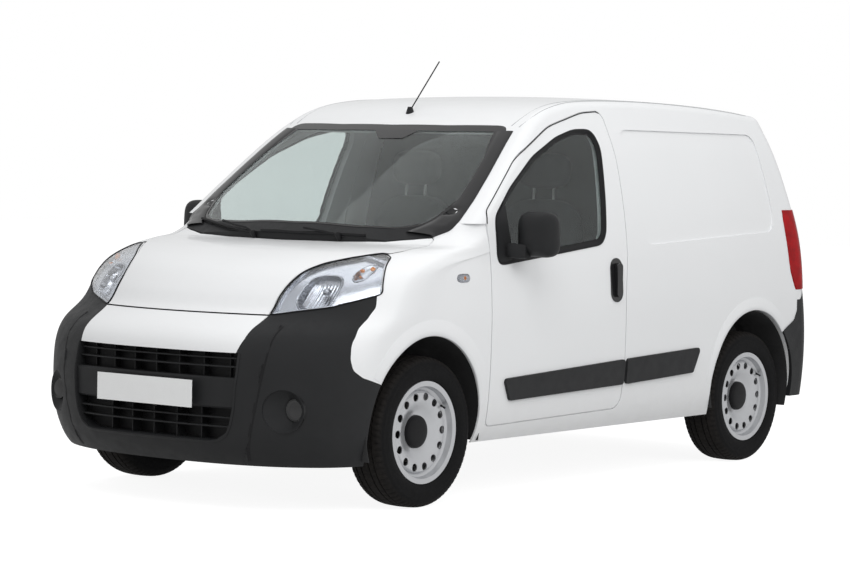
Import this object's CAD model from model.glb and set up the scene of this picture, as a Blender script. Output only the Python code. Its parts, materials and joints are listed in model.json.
"""Looks of a small white panel van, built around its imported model.

The van faces -Y, its left side is +X and +Z is up. Sizes are in millimetres unless a comment says
otherwise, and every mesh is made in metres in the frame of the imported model. Each sub-assembly is a
class that builds and dresses its own pieces.
"""
from __future__ import annotations

import json
import logging
import math
from dataclasses import dataclass
from enum import Enum
from typing import Callable, Iterable, Sequence

import bmesh
import bpy
import numpy as np
from mathutils import Matrix, Vector
from mathutils.bvhtree import BVHTree

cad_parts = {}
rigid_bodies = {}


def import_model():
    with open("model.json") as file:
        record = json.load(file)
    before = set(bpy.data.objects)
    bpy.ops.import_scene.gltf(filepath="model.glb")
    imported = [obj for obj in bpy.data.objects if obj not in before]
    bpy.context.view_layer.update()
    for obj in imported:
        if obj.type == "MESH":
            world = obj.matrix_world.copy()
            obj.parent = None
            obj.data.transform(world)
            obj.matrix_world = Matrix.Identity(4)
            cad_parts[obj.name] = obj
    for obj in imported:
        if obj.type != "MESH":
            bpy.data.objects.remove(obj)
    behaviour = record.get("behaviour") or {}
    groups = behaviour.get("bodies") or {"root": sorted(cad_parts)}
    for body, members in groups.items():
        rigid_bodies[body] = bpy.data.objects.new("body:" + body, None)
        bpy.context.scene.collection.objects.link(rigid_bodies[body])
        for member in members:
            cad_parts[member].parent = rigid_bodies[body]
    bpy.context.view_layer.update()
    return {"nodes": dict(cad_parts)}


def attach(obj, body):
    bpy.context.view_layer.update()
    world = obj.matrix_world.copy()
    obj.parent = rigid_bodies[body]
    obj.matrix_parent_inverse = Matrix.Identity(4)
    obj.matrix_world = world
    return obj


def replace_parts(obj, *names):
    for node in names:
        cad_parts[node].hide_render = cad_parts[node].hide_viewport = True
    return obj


LOG = logging.getLogger("panel_van")
MM = 0.001
Point = tuple[float, float, float]
Pair = tuple[float, float]
Socket = bpy.types.NodeSocket
Item = bpy.types.Object
BMesh = bmesh.types.BMesh
Hit = tuple[Vector, Vector]

FRONT_AXLE_Y = -1131.0
REAR_AXLE_Y = 1382.0
AXLE_Z = 311.0
HALF_TRACK = 734.5
SIDE_X = 850.0
UP = (0, 0, 1)
FORWARD = (0, -1, 0)
BACKWARD = (0, 1, 0)


class Side(Enum):
    """A side of the van, with its sign along X."""

    LEFT = 1
    RIGHT = -1

    @property
    def word(self) -> str:
        """The side's name, as the nodes use it."""
        return self.name.lower()


# Finishes


class NodeTree:
    """A material's node tree, with short ways to add and join its nodes."""

    def __init__(self, name: str) -> None:
        """Start an empty material.

        Args:
            name: the material's name.
        """
        self.material = bpy.data.materials.new(name)
        self.material.use_nodes = True
        self.nodes = self.material.node_tree.nodes
        self.links = self.material.node_tree.links
        self.nodes.clear()

    def add(self, kind: str, **values: object) -> bpy.types.Node:
        """Add a node and set its properties, or the inputs of the same name.

        Args:
            kind: the node's type name.
            values: property names with their values; an input is written with _ for each space.

        Returns:
            The new node.
        """
        node = self.nodes.new(kind)
        for key, value in values.items():
            if hasattr(node, key):
                setattr(node, key, value)
            else:
                node.inputs[key.replace("_", " ")].default_value = value
        return node

    def join(self, source: Socket, target: Socket) -> None:
        """Link an output to an input."""
        self.links.new(source, target)

    def place(self) -> Socket:
        """The piece's own coordinates, in metres."""
        return self.add("ShaderNodeTexCoord").outputs["Object"]

    def split(self, place: Socket) -> bpy.types.NodeOutputs:
        """The three coordinates of a place."""
        parts = self.add("ShaderNodeSeparateXYZ")
        self.join(place, parts.inputs[0])
        return parts.outputs

    def noise(self, place: Socket, scale: float, detail: float = 4.0) -> Socket:
        """Noise from 0 to 1 over the piece.

        Args:
            place: the coordinates that it reads.
            scale: how fine it is, in cycles a metre.
            detail: how many finer octaves it has.

        Returns:
            The noise's value.
        """
        node = self.add("ShaderNodeTexNoise", Scale=scale, Detail=detail, Roughness=0.55)
        self.join(place, node.inputs["Vector"])
        return node.outputs["Fac"]

    def spread(self, value: Socket, low: float, high: float,
               start: float = 0.3, end: float = 0.7) -> Socket:
        """Map a value from start..end to low..high.

        Args:
            value: what is mapped.
            low: result at start.
            high: result at end.
            start: lower end of the value.
            end: upper end of the value.

        Returns:
            The mapped value.
        """
        node = self.add("ShaderNodeMapRange")
        node.inputs["From Min"].default_value = start
        node.inputs["From Max"].default_value = end
        node.inputs["To Min"].default_value = low
        node.inputs["To Max"].default_value = high
        self.join(value, node.inputs["Value"])
        return node.outputs["Result"]

    def mix(self, share: Socket, first: Sequence[float], second: Sequence[float] | None = None,
            first_socket: Socket | None = None) -> Socket:
        """Mix two colours by a share.

        Args:
            share: 0 gives the first, 1 the second.
            first: the first colour.
            second: the second colour.
            first_socket: a colour that stands for the first.

        Returns:
            The mixed colour.
        """
        node = self.add("ShaderNodeMix", data_type="RGBA")
        colour_inputs = [s for s in node.inputs if s.type == "RGBA"]
        colour_inputs[0].default_value = (*first, 1.0)
        colour_inputs[1].default_value = (*(second or first), 1.0)
        if first_socket is not None:
            self.join(first_socket, colour_inputs[0])
        self.join(share, node.inputs["Factor"])
        return [s for s in node.outputs if s.type == "RGBA"][0]

    def maths(self, operation: str, first: Socket, second: float | Socket = 0.0
              ) -> Socket:
        """One sum on a value.

        Args:
            operation: the Math node's operation.
            first: its first value.
            second: its second, a number or an output.

        Returns:
            The result.
        """
        node = self.add("ShaderNodeMath", operation=operation)
        self.join(first, node.inputs[0])
        if isinstance(second, (int, float)):
            node.inputs[1].default_value = second
        else:
            self.join(second, node.inputs[1])
        return node.outputs[0]

    def bump(self, height: Socket, distance: float,
             normal: Socket | None = None) -> Socket:
        """Surface relief from a height.

        Args:
            height: relief from 0 to 1.
            distance: the depth of that relief in metres.
            normal: relief that this one adds to.

        Returns:
            The changed normal.
        """
        node = self.add("ShaderNodeBump", Strength=1.0, Distance=distance)
        self.join(height, node.inputs["Height"])
        if normal is not None:
            self.join(normal, node.inputs["Normal"])
        return node.outputs["Normal"]

    def finish(self, shader: bpy.types.Node) -> bpy.types.Material:
        """Send a shader to the output and hand back the material."""
        output = self.add("ShaderNodeOutputMaterial")
        self.join(shader.outputs[0], output.inputs["Surface"])
        return self.material


@dataclass(frozen=True)
class Finish:
    """One finish: a shader with mottled colour, uneven gloss and fine relief."""

    name: str
    colour: Point
    roughness: float = 0.5
    metallic: float = 0.0
    coat: float = 0.0
    coat_roughness: float = 0.06
    specular: float = 0.5
    transmission: float = 0.0
    ior: float = 1.5
    mottle: float = 0.06
    mottle_scale: float = 3.0
    gloss_spread: float = 0.05
    gloss_fineness: float = 4.0
    grain_scale: float = 900.0
    grain_depth: float = 0.00005

    def shade(self, tree: NodeTree, place: Socket) -> Socket:
        """The colour over the piece.

        Args:
            tree: the material's tree.
            place: the piece's coordinates.

        Returns:
            The colour output.
        """
        dark = tuple(c * (1 - self.mottle) for c in self.colour)
        return tree.mix(tree.spread(tree.noise(place, self.mottle_scale), 0.0, 1.0), dark,
                        self.colour)

    def relief(self, tree: NodeTree, place: Socket) -> Socket:
        """The fine relief over the piece.

        Args:
            tree: the material's tree.
            place: the piece's coordinates.

        Returns:
            The normal output.
        """
        return tree.bump(tree.noise(place, self.grain_scale, 2.0), self.grain_depth)

    def build(self) -> bpy.types.Material:
        """Make the material.

        Returns:
            The material.
        """
        tree = NodeTree(self.name + "_finish")
        place = tree.place()
        shader = tree.add("ShaderNodeBsdfPrincipled")
        for socket, value in (("Metallic", self.metallic), ("IOR", self.ior),
                              ("Specular IOR Level", self.specular), ("Coat Weight", self.coat),
                              ("Coat Roughness", self.coat_roughness),
                              ("Transmission Weight", self.transmission),
                              ("Roughness", self.roughness)):
            shader.inputs[socket].default_value = value
        tree.join(self.shade(tree, place), shader.inputs["Base Color"])
        if self.gloss_spread:
            uneven = tree.noise(place, self.mottle_scale * self.gloss_fineness)
            gloss = tree.spread(uneven, self.roughness - self.gloss_spread,
                                self.roughness + self.gloss_spread)
            tree.join(gloss, shader.inputs["Roughness"])
        if self.grain_depth:
            tree.join(self.relief(tree, place), shader.inputs["Normal"])
        return tree.finish(shader)


@dataclass(frozen=True)
class BodyPaint(Finish):
    """Solid white coachwork paint, a little dusty towards the sills."""

    dust: Point = (0.62, 0.61, 0.59)
    dust_foot: float = 0.22
    dust_top: float = 0.55
    dust_share: float = 0.22
    dust_scale: float = 14.0
    dust_least: float = 0.3

    def shade(self, tree: NodeTree, place: Socket) -> Socket:
        """White with road dust that fades upwards.

        Args:
            tree: the material's tree.
            place: the piece's coordinates.

        Returns:
            The colour output.
        """
        clean = super().shade(tree, place)
        height = tree.split(place)["Z"]
        low = tree.spread(height, self.dust_share, 0.0, self.dust_foot, self.dust_top)
        patches = tree.spread(tree.noise(place, self.dust_scale), self.dust_least, 1.0)
        return tree.mix(tree.maths("MULTIPLY", low, patches), self.colour, self.dust, clean)


@dataclass(frozen=True)
class Rubber(Finish):
    """Tyre rubber: brownish black with a dusty bloom on the tread."""

    bloom: Point = (0.034, 0.030, 0.027)
    bloom_start: float = 0.285
    bloom_end: float = 0.312
    bloom_share: float = 0.75
    bloom_scale: float = 40.0
    bloom_least: float = 0.4
    hub_places: Pair = (FRONT_AXLE_Y, REAR_AXLE_Y)

    def shade(self, tree: NodeTree, place: Socket) -> Socket:
        """Black on the sidewall, dustier with distance from the hub.

        Args:
            tree: the material's tree.
            place: the piece's coordinates.

        Returns:
            The colour output.
        """
        clean = super().shade(tree, place)
        parts = tree.split(place)
        reach = None
        for y in self.hub_places:
            across = tree.maths("POWER", tree.maths("SUBTRACT", parts["Y"], y * MM), 2.0)
            upright = tree.maths("POWER", tree.maths("SUBTRACT", parts["Z"], AXLE_Z * MM), 2.0)
            radius = tree.maths("SQRT", tree.maths("ADD", across, upright))
            reach = radius if reach is None else tree.maths("MINIMUM", reach, radius)
        share = tree.spread(reach, 0.0, self.bloom_share, self.bloom_start, self.bloom_end)
        patches = tree.spread(tree.noise(place, self.bloom_scale), self.bloom_least, 1.0)
        return tree.mix(tree.maths("MULTIPLY", share, patches), self.colour, self.bloom, clean)


@dataclass(frozen=True)
class Cloth(Finish):
    """Woven seat cloth: two crossing sets of threads."""

    thread_scale: float = 330.0
    thread_depth: float = 0.00003

    def relief(self, tree: NodeTree, place: Socket) -> Socket:
        """Crossing threads as fine relief.

        Args:
            tree: the material's tree.
            place: the piece's coordinates.

        Returns:
            The normal output.
        """
        normal = None
        for direction in ("X", "Z", "Y"):
            wave = tree.add("ShaderNodeTexWave", bands_direction=direction, Scale=self.thread_scale,
                            Distortion=0.6, Detail=1.0)
            tree.join(place, wave.inputs["Vector"])
            normal = tree.bump(wave.outputs["Fac"], self.thread_depth, normal)
        return normal


@dataclass(frozen=True)
class RibbedLens(Finish):
    """Coloured lamp plastic with fine upright ribs inside."""

    rib_scale: float = 60.0
    rib_depth: float = 0.0012

    def relief(self, tree: NodeTree, place: Socket) -> Socket:
        """Ribs as relief.

        Args:
            tree: the material's tree.
            place: the piece's coordinates.

        Returns:
            The normal output.
        """
        wave = tree.add("ShaderNodeTexWave", bands_direction="Z", Scale=self.rib_scale,
                        Distortion=0.0)
        tree.join(place, wave.inputs["Vector"])
        return tree.bump(wave.outputs["Fac"], self.rib_depth)


FINISHES: tuple[Finish, ...] = (
    BodyPaint("white_paint", (0.80, 0.81, 0.82), 0.36, coat=0.4, mottle=0.02, mottle_scale=1.2,
              gloss_spread=0.03, grain_scale=260.0, grain_depth=0.00002),
    Finish("black_plastic", (0.0170, 0.0175, 0.0187), 0.52, specular=0.30, mottle=0.16,
           mottle_scale=5.0, gloss_spread=0.06, grain_scale=1400.0, grain_depth=0.00022),
    Finish("black_gloss", (0.011, 0.011, 0.012), 0.16, coat=0.3, mottle=0.1, gloss_spread=0.02,
           grain_depth=0.00001),
    Finish("glass", (0.74, 0.80, 0.79), 0.01, transmission=1.0, ior=1.36, specular=0.3, mottle=0.02,
           gloss_spread=0.0, grain_depth=0.0),
    Finish("lamp_lens", (0.96, 0.98, 1.0), 0.01, transmission=1.0, ior=1.35, mottle=0.01,
           gloss_spread=0.0, grain_depth=0.0),
    Finish("lamp_reflector", (0.44, 0.45, 0.48), 0.24, metallic=0.95, mottle=0.05,
           gloss_spread=0.03, grain_scale=60.0, grain_depth=0.0003),
    Finish("lamp_bezel", (0.40, 0.41, 0.44), 0.28, metallic=0.85, mottle=0.06, gloss_spread=0.05,
           grain_scale=300.0, grain_depth=0.00005),
    Finish("amber_lens", (0.85, 0.25, 0.03), 0.12, transmission=0.35, coat=0.4, mottle=0.1,
           grain_depth=0.0001),
    RibbedLens("red_lens", (0.40, 0.002, 0.005), 0.22, specular=0.12, rib_depth=0.0003, mottle=0.35,
               mottle_scale=22.0, gloss_spread=0.03),
    Finish("plate", (0.96, 0.97, 0.97), 0.38, coat=0.2, mottle=0.03, mottle_scale=14.0,
           grain_scale=500.0, grain_depth=0.00004),
    Finish("wheel_paint", (0.62, 0.63, 0.65), 0.34, metallic=0.7, coat=0.25, mottle=0.03,
           mottle_scale=24.0, gloss_spread=0.03, grain_scale=1800.0, grain_depth=0.00001),
    Rubber("tyre", (0.0065, 0.0065, 0.007), 0.78, specular=0.2, mottle=0.25, mottle_scale=30.0,
           gloss_spread=0.07, grain_scale=700.0, grain_depth=0.00025),
    Finish("cast_metal", (0.16, 0.155, 0.15), 0.62, metallic=0.6, mottle=0.35, mottle_scale=22.0,
           gloss_spread=0.1, grain_scale=350.0, grain_depth=0.0006),
    Finish("bare_metal", (0.34, 0.335, 0.33), 0.42, metallic=0.85, mottle=0.2, mottle_scale=18.0,
           gloss_spread=0.1, grain_scale=500.0, grain_depth=0.0002),
    Finish("underbody", (0.035, 0.035, 0.036), 0.78, mottle=0.35, mottle_scale=9.0,
           gloss_spread=0.08, grain_scale=260.0, grain_depth=0.0008),
    Finish("cap_plastic", (0.007, 0.007, 0.008), 0.42, specular=0.2, mottle=0.15, mottle_scale=30.0,
           gloss_spread=0.05, grain_scale=1200.0, grain_depth=0.00008),
    Cloth("seat_cloth", (0.026, 0.028, 0.031), 0.92, specular=0.12, thread_depth=0.000004,
          mottle=0.12, mottle_scale=60.0, gloss_spread=0.04),
    Finish("cab_lining", (0.060, 0.063, 0.067), 0.88, specular=0.2, mottle=0.08, mottle_scale=6.0,
           grain_scale=200.0, grain_depth=0.00002),
    Finish("dash_plastic", (0.050, 0.052, 0.056), 0.6, mottle=0.14, mottle_scale=8.0,
           gloss_spread=0.06, grain_scale=1100.0, grain_depth=0.0003),
    Finish("mirror_glass", (0.80, 0.83, 0.84), 0.02, metallic=1.0, mottle=0.03, gloss_spread=0.0,
           grain_depth=0.0),
    Finish("seam_sealer", (0.30, 0.31, 0.32), 0.5, specular=0.3, mottle=0.08, mottle_scale=8.0,
           grain_scale=400.0, grain_depth=0.00004),
    Finish("seal_rubber", (0.008, 0.008, 0.009), 0.55, specular=0.3, mottle=0.15, mottle_scale=30.0,
           grain_scale=900.0, grain_depth=0.0001),
)


class Palette:
    """The finishes, each made once and handed out by name."""

    def __init__(self, finishes: Iterable[Finish]) -> None:
        """Remember the finishes.

        Args:
            finishes: every finish that the van has.
        """
        self.finishes = {finish.name: finish for finish in finishes}
        self.made: dict[str, bpy.types.Material] = {}

    def material(self, name: str) -> bpy.types.Material:
        """The material of a finish."""
        if name not in self.made:
            self.made[name] = self.finishes[name].build()
        return self.made[name]


PALETTE = Palette(FINISHES)


# Mesh helpers


def to_metres(points: Iterable[Sequence[float]]) -> list[Vector]:
    """Points in millimetres as vectors in metres."""
    return [Vector(p) * MM for p in points]


def place_piece(mesh: bpy.types.Mesh, name: str, body: str) -> Item:
    """Put a mesh into the scene as a piece that rides on a body.

    Args:
        mesh: the piece's mesh.
        name: the piece's name.
        body: the body that it rides on.

    Returns:
        The piece.
    """
    piece = bpy.data.objects.new(name, mesh)
    bpy.context.scene.collection.objects.link(piece)
    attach(piece, body)
    return piece


def file_piece(bm: BMesh, name: str, finish: str, body: str = "body",
               smooth_angle: float = 40.0) -> Item:
    """Turn a finished bmesh into a piece that rides on a body.

    Args:
        bm: the mesh, in metres, in the model's frame; it is freed.
        name: the piece's name.
        finish: the finish's name.
        body: the body that it rides on.
        smooth_angle: edges sharper than this many degrees stay sharp.

    Returns:
        The piece.
    """
    bmesh.ops.remove_doubles(bm, verts=bm.verts, dist=1e-6)
    bmesh.ops.recalc_face_normals(bm, faces=bm.faces)
    limit = math.radians(smooth_angle)
    for face in bm.faces:
        face.smooth = True
    for edge in bm.edges:
        if len(edge.link_faces) == 2 and edge.calc_face_angle(0.0) > limit:
            edge.smooth = False
    mesh = bpy.data.meshes.new(name)
    bm.to_mesh(mesh)
    bm.free()
    mesh.materials.append(PALETTE.material(finish))
    return place_piece(mesh, name, body)


def mirror_piece(piece: Item, name: str, body: str) -> Item:
    """The mirror image of a left piece, on the right side.

    Args:
        piece: the left piece.
        name: the new piece's name.
        body: the body that the copy rides on.

    Returns:
        The right piece.
    """
    bm = bmesh.new()
    bm.from_mesh(piece.data)
    bmesh.ops.scale(bm, vec=(-1, 1, 1), verts=bm.verts)
    bmesh.ops.reverse_faces(bm, faces=bm.faces)
    mesh = bpy.data.meshes.new(name)
    bm.to_mesh(mesh)
    bm.free()
    for material in piece.data.materials:
        mesh.materials.append(material)
    return place_piece(mesh, name, body)


def file_pair(bm: BMesh, name: str, finish: str, body: str = "body", right_body: str | None = None,
              smooth_angle: float = 40.0) -> tuple[Item, Item]:
    """Turn a finished bmesh into a left piece, and mirror it to the right.

    Args:
        bm: the left piece's mesh, in metres; it is freed.
        name: the pieces' name without a side.
        finish: the finish's name.
        body: the body that the left piece rides on.
        right_body: the right piece's own body, where it has one.
        smooth_angle: edges sharper than this many degrees stay sharp.

    Returns:
        The left piece and the right one.
    """
    left = file_piece(bm, name + "_left", finish, body, smooth_angle)
    return left, mirror_piece(left, name + "_right", right_body or body)


def add_loop(bm: BMesh, points: Sequence[Vector], closed: bool = True) -> list[bmesh.types.BMEdge]:
    """Add a chain of edges through points.

    Args:
        bm: the mesh.
        points: the chain's points, in metres.
        closed: whether the last point joins the first.

    Returns:
        The new edges.
    """
    verts = [bm.verts.new(p) for p in points]
    ends = verts[1:] + verts[:1] if closed else verts[1:]
    return [bm.edges.new((a, b)) for a, b in zip(verts, ends)]


def sweep_tube(bm: BMesh, points: Sequence[Vector], radius: float, closed: bool = False,
               sides: int = 10) -> None:
    """Add a round tube along points.

    Args:
        bm: the mesh.
        points: the line that it follows, in metres.
        radius: its radius in millimetres.
        closed: whether it is a ring.
        sides: how many sides it has.
    """
    curve = bpy.data.curves.new("tube", "CURVE")
    curve.dimensions = "3D"
    curve.bevel_depth = radius * MM
    curve.bevel_resolution = max(1, sides // 4)
    curve.use_fill_caps = not closed
    spline = curve.splines.new("POLY")
    spline.points.add(len(points) - 1)
    for slot, point in zip(spline.points, points):
        slot.co = (*point, 1.0)
    spline.use_cyclic_u = closed
    holder = bpy.data.objects.new("tube", curve)
    mesh = bpy.data.meshes.new_from_object(holder)
    bm.from_mesh(mesh)
    bpy.data.objects.remove(holder)
    bpy.data.curves.remove(curve)
    bpy.data.meshes.remove(mesh)


def spin_profile(bm: BMesh, profile: Sequence[Pair], centre: Sequence[float], axis: Sequence[float],
                 across: Sequence[float], steps: int) -> None:
    """Turn a profile all the way round an axis.

    Args:
        bm: the mesh.
        profile: (along, radius) pairs in millimetres.
        centre: a point on the axis, in millimetres.
        axis: the axis's direction.
        across: the direction in which the first profile's radius points.
        steps: how many steps the turn has.
    """
    middle, along, out = Vector(centre) * MM, Vector(axis).normalized(), Vector(across).normalized()
    edges = add_loop(bm, [middle + along * (a * MM) + out * (r * MM) for a, r in profile],
                     closed=False)
    verts = list(dict.fromkeys(v for e in edges for v in e.verts))
    bmesh.ops.spin(bm, geom=verts + edges, cent=middle, axis=along, angle=2 * math.pi, steps=steps,
                   use_merge=True, use_duplicate=False)


def resample(points: Sequence[Vector], spacing: float, closed: bool = True) -> list[Vector]:
    """Even points along a chain.

    Args:
        points: the chain, in metres.
        spacing: the wanted distance in millimetres.
        closed: whether it is a ring.

    Returns:
        The new points.
    """
    chain = list(points) + ([points[0]] if closed else [])
    travel = [0.0]
    for a, b in zip(chain, chain[1:]):
        travel.append(travel[-1] + (b - a).length)
    count = max(4, round(travel[-1] / (spacing * MM)))
    result, j = [], 0
    for i in range(count + (0 if closed else 1)):
        wanted = travel[-1] * i / count
        while j < len(travel) - 2 and travel[j + 1] < wanted:
            j += 1
        run = travel[j + 1] - travel[j]
        result.append(chain[j].lerp(chain[j + 1], (wanted - travel[j]) / run if run else 0.0))
    return result


def relax(points: Sequence[Vector], times: int, closed: bool = True) -> list[Vector]:
    """Smooth a chain by drawing each point towards its neighbours' middle.

    Args:
        points: the chain.
        times: how often it is done.
        closed: whether it is a ring; the ends of an open one stay.

    Returns:
        The smoothed chain.
    """
    chain = list(points)
    for _ in range(times):
        before = chain[-1:] + chain[:-1]
        after = chain[1:] + chain[:1]
        moved = [p.lerp((a + b) / 2, 0.5) for a, p, b in zip(before, chain, after)]
        if not closed:
            moved[0], moved[-1] = chain[0], chain[-1]
        chain = moved
    return chain


def lay_rows(bm: BMesh, rows: Sequence[Sequence[Vector]], closed: bool) -> None:
    """Skin a surface over rows of points.

    Args:
        bm: the mesh.
        rows: chains of points, all with the same count, in metres.
        closed: whether each chain is a ring.
    """
    chains = [add_loop(bm, row, closed) for row in rows]
    for before, after in zip(chains, chains[1:]):
        bmesh.ops.bridge_loops(bm, edges=before + after)


def turn_towards(bm: BMesh, direction: Sequence[float]) -> None:
    """Turn an open surface so that most of it faces one way.

    Args:
        bm: the mesh.
        direction: the way that it should face.
    """
    bmesh.ops.recalc_face_normals(bm, faces=bm.faces)
    way = Vector(direction)
    if sum(f.normal.dot(way) * f.calc_area() for f in bm.faces) < 0:
        bmesh.ops.reverse_faces(bm, faces=bm.faces)


def thicken(bm: BMesh, thickness: float) -> None:
    """Give an open surface a wall behind it.

    Args:
        bm: the mesh.
        thickness: the wall in millimetres; it grows away from the way the faces look.
    """
    bmesh.ops.solidify(bm, geom=bm.faces[:], thickness=-thickness * MM)


def round_block(bm: BMesh, low: Point, high: Point, radius: float, segments: int = 3) -> None:
    """Add a block with rounded edges.

    Args:
        bm: the mesh.
        low: its lowest corner in millimetres.
        high: its highest corner.
        radius: the radius of its edges.
        segments: how many facets a rounded edge has.
    """
    made = bmesh.ops.create_cube(bm, size=1.0)["verts"]
    size = Vector(high) - Vector(low)
    middle = (Vector(high) + Vector(low)) / 2
    bmesh.ops.scale(bm, vec=size * MM, verts=made)
    bmesh.ops.translate(bm, vec=middle * MM, verts=made)
    edges = list({e for v in made for e in v.link_edges})
    bmesh.ops.bevel(bm, geom=edges, offset=radius * MM, segments=segments, profile=0.5,
                    affect="EDGES", material=-1, offset_type="OFFSET", clamp_overlap=True)


def close_ends(bm: BMesh) -> None:
    """Fill every open end of a mesh."""
    bmesh.ops.holes_fill(bm, edges=[e for e in bm.edges if len(e.link_faces) == 1])


def squared_circle(count: int, across: float = 1.0, upright: float = 1.0) -> list[Pair]:
    """Points of a circle of radius 1 that is drawn out towards a square.

    Args:
        count: how many points it has.
        across: the power of the first coordinate; 1 is a plain circle, less is squarer.
        upright: the power of the second.

    Returns:
        The points in order.
    """
    points = []
    for k in range(count):
        angle = 2 * math.pi * k / count
        c, s = math.cos(angle), math.sin(angle)
        points.append((math.copysign(abs(c) ** across, c), math.copysign(abs(s) ** upright, s)))
    return points


class Skin:
    """The surface of one or more CAD nodes, for seating pieces on it."""

    ray_start = 3000.0

    def __init__(self, nodes: Sequence[Item]) -> None:
        """Index the nodes' faces.

        Args:
            nodes: the CAD nodes' objects.
        """
        verts: list[Vector] = []
        faces: list[tuple[int, ...]] = []
        for node in nodes:
            start = len(verts)
            verts += [v.co.copy() for v in node.data.vertices]
            faces += [tuple(start + i for i in p.vertices) for p in node.data.polygons]
        self.tree = BVHTree.FromPolygons(verts, faces)

    def cast(self, origin: Vector, direction: Vector) -> Hit | None:
        """First hit of a ray, with the surface's direction there.

        Args:
            origin: where the ray starts, in metres.
            direction: where it goes.

        Returns:
            The hit and its normal, or nothing.
        """
        hit, normal, _, _ = self.tree.ray_cast(origin, direction)
        return None if hit is None else (hit, normal)

    def snap(self, point: Vector, lift: float = 0.0) -> Vector:
        """The nearest place on the surface.

        Args:
            point: a point near the surface, in metres.
            lift: how far to stand off the surface, in millimetres.

        Returns:
            That place, lifted.
        """
        hit, normal, _, _ = self.tree.find_nearest(point)
        return hit + normal * (lift * MM)

    def level(self, point: Vector, way: Vector, reach: float = math.inf,
              start: float = 0.2) -> Vector:
        """The surface's place on a line through a point, or the point where that is far off.

        Args:
            point: a point near the surface, in metres.
            way: the direction that the surface faces there.
            reach: how far off the surface may be, in metres.
            start: how far outside the ray begins, in metres.

        Returns:
            That place.
        """
        found = self.cast(point + way * start, -way)
        close = found is not None and (found[0] - point).length < reach
        return found[0] if close else point

    def from_side(self, y: float, z: float) -> Hit | None:
        """Hit of a level ray from outside the left side, at y and z in millimetres."""
        return self.cast(Vector((self.ray_start, y, z)) * MM, Vector((-1, 0, 0)))

    def from_front(self, x: float, z: float) -> Hit | None:
        """Hit of a level ray from ahead, at x and z in millimetres."""
        return self.cast(Vector((x, -self.ray_start, z)) * MM, Vector(BACKWARD))


def patch_outline(node: Item, direction: Sequence[float],
                  keep: Callable[[Vector], bool] = lambda p: True,
                  crease: float = 35.0) -> list[Vector]:
    """Outline of the largest smooth patch of a CAD node that faces one way.

    Args:
        node: the CAD node's object.
        direction: the way that the patch faces.
        keep: whether a face with this middle counts.
        crease: an edge sharper than this many degrees ends a patch.

    Returns:
        The outline's points in order, in metres.
    """
    way = Vector(direction).normalized()
    limit = math.radians(crease)
    bm = bmesh.new()
    bm.from_mesh(node.data)
    bmesh.ops.remove_doubles(bm, verts=bm.verts, dist=1e-5)
    facing = [f for f in bm.faces if keep(f.calc_center_median()) and f.normal.dot(way) > -0.2]
    waiting = set(facing)
    best: set[bmesh.types.BMFace] = set()
    best_area = 0.0
    for seed in facing:
        if seed not in waiting:
            continue
        waiting.discard(seed)
        front = [seed]
        patch = set(front)
        while front:
            face = front.pop()
            for edge in face.edges:
                if len(edge.link_faces) != 2 or edge.calc_face_angle(0.0) > limit:
                    continue
                for other in edge.link_faces:
                    if other in waiting:
                        waiting.discard(other)
                        patch.add(other)
                        front.append(other)
        area = sum(f.calc_area() * max(0.0, f.normal.dot(way)) for f in patch)
        if area > best_area:
            best, best_area = patch, area
    rim = [e for e in bm.edges if sum(1 for g in e.link_faces if g in best) == 1]
    border = set(rim)
    loops: list[list[Vector]] = []
    for edge in rim:
        if edge not in border:
            continue
        border.discard(edge)
        chain = [edge.verts[0], edge.verts[1]]
        while chain[-1] is not chain[0]:
            onward = next((e for e in chain[-1].link_edges if e in border), None)
            if onward is None:
                break
            border.discard(onward)
            chain.append(onward.other_vert(chain[-1]))
        loops.append([v.co.copy() for v in (chain[:-1] if chain[-1] is chain[0] else chain)])
    bm.free()
    if not loops:
        raise ValueError(f"{node.name} has no patch that faces {tuple(direction)}")
    return max(loops, key=lambda points: sum((a - b).length for a, b in zip(points, points[1:])))


def frame_strip(loop: Sequence[Vector], skin: Skin, width: Callable[[Vector], float], lift: float,
                thickness: float, name: str, finish: str, outer_grow: float, spacing: float,
                smoothing: int) -> None:
    """A flat band that follows an outline on a surface, inwards from it.

    Args:
        loop: the outline, in metres.
        skin: the surface that it lies on.
        width: the band's width in millimetres at a place of the outline.
        lift: how far its underside stands off the surface.
        thickness: its thickness.
        name: the piece's name.
        finish: its finish.
        outer_grow: how far it reaches outwards over the outline.
        spacing: the distance between its cross-sections.
        smoothing: how often the outline is relaxed.
    """
    outer = relax(resample(loop, spacing), smoothing)
    middle = sum(outer, Vector()) / len(outer)
    rows: list[list[Vector]] = [[], [], []]
    for before, here, after in zip(outer[-1:] + outer[:-1], outer, outer[1:] + outer[:1]):
        _, normal, _, _ = skin.tree.find_nearest(here.lerp(middle, 0.03))
        inward = normal.cross(after - before).normalized()
        if inward.dot(middle - here) < 0:
            inward.negate()
        for row, share in zip(rows, (-outer_grow, width(here) * 0.5, width(here))):
            place = here + inward * (share * MM)
            if share > 0:
                hit, face_normal, _, _ = skin.tree.find_nearest(place)
                place = hit + face_normal * (lift * MM)
            else:
                place = place + normal * (lift * MM)
            row.append(place)
    bm = bmesh.new()
    loops = [add_loop(bm, row) for row in rows]
    bmesh.ops.bridge_loops(bm, edges=loops[0] + loops[1])
    bmesh.ops.bridge_loops(bm, edges=loops[1] + loops[2])
    bmesh.ops.recalc_face_normals(bm, faces=bm.faces)
    sample = max(bm.faces, key=lambda f: f.calc_area())
    _, normal, _, _ = skin.tree.find_nearest(sample.calc_center_median())
    if sample.normal.dot(normal) < 0:
        bmesh.ops.reverse_faces(bm, faces=bm.faces)
    thicken(bm, thickness)
    file_piece(bm, name, finish)


# Sub-assemblies


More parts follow.
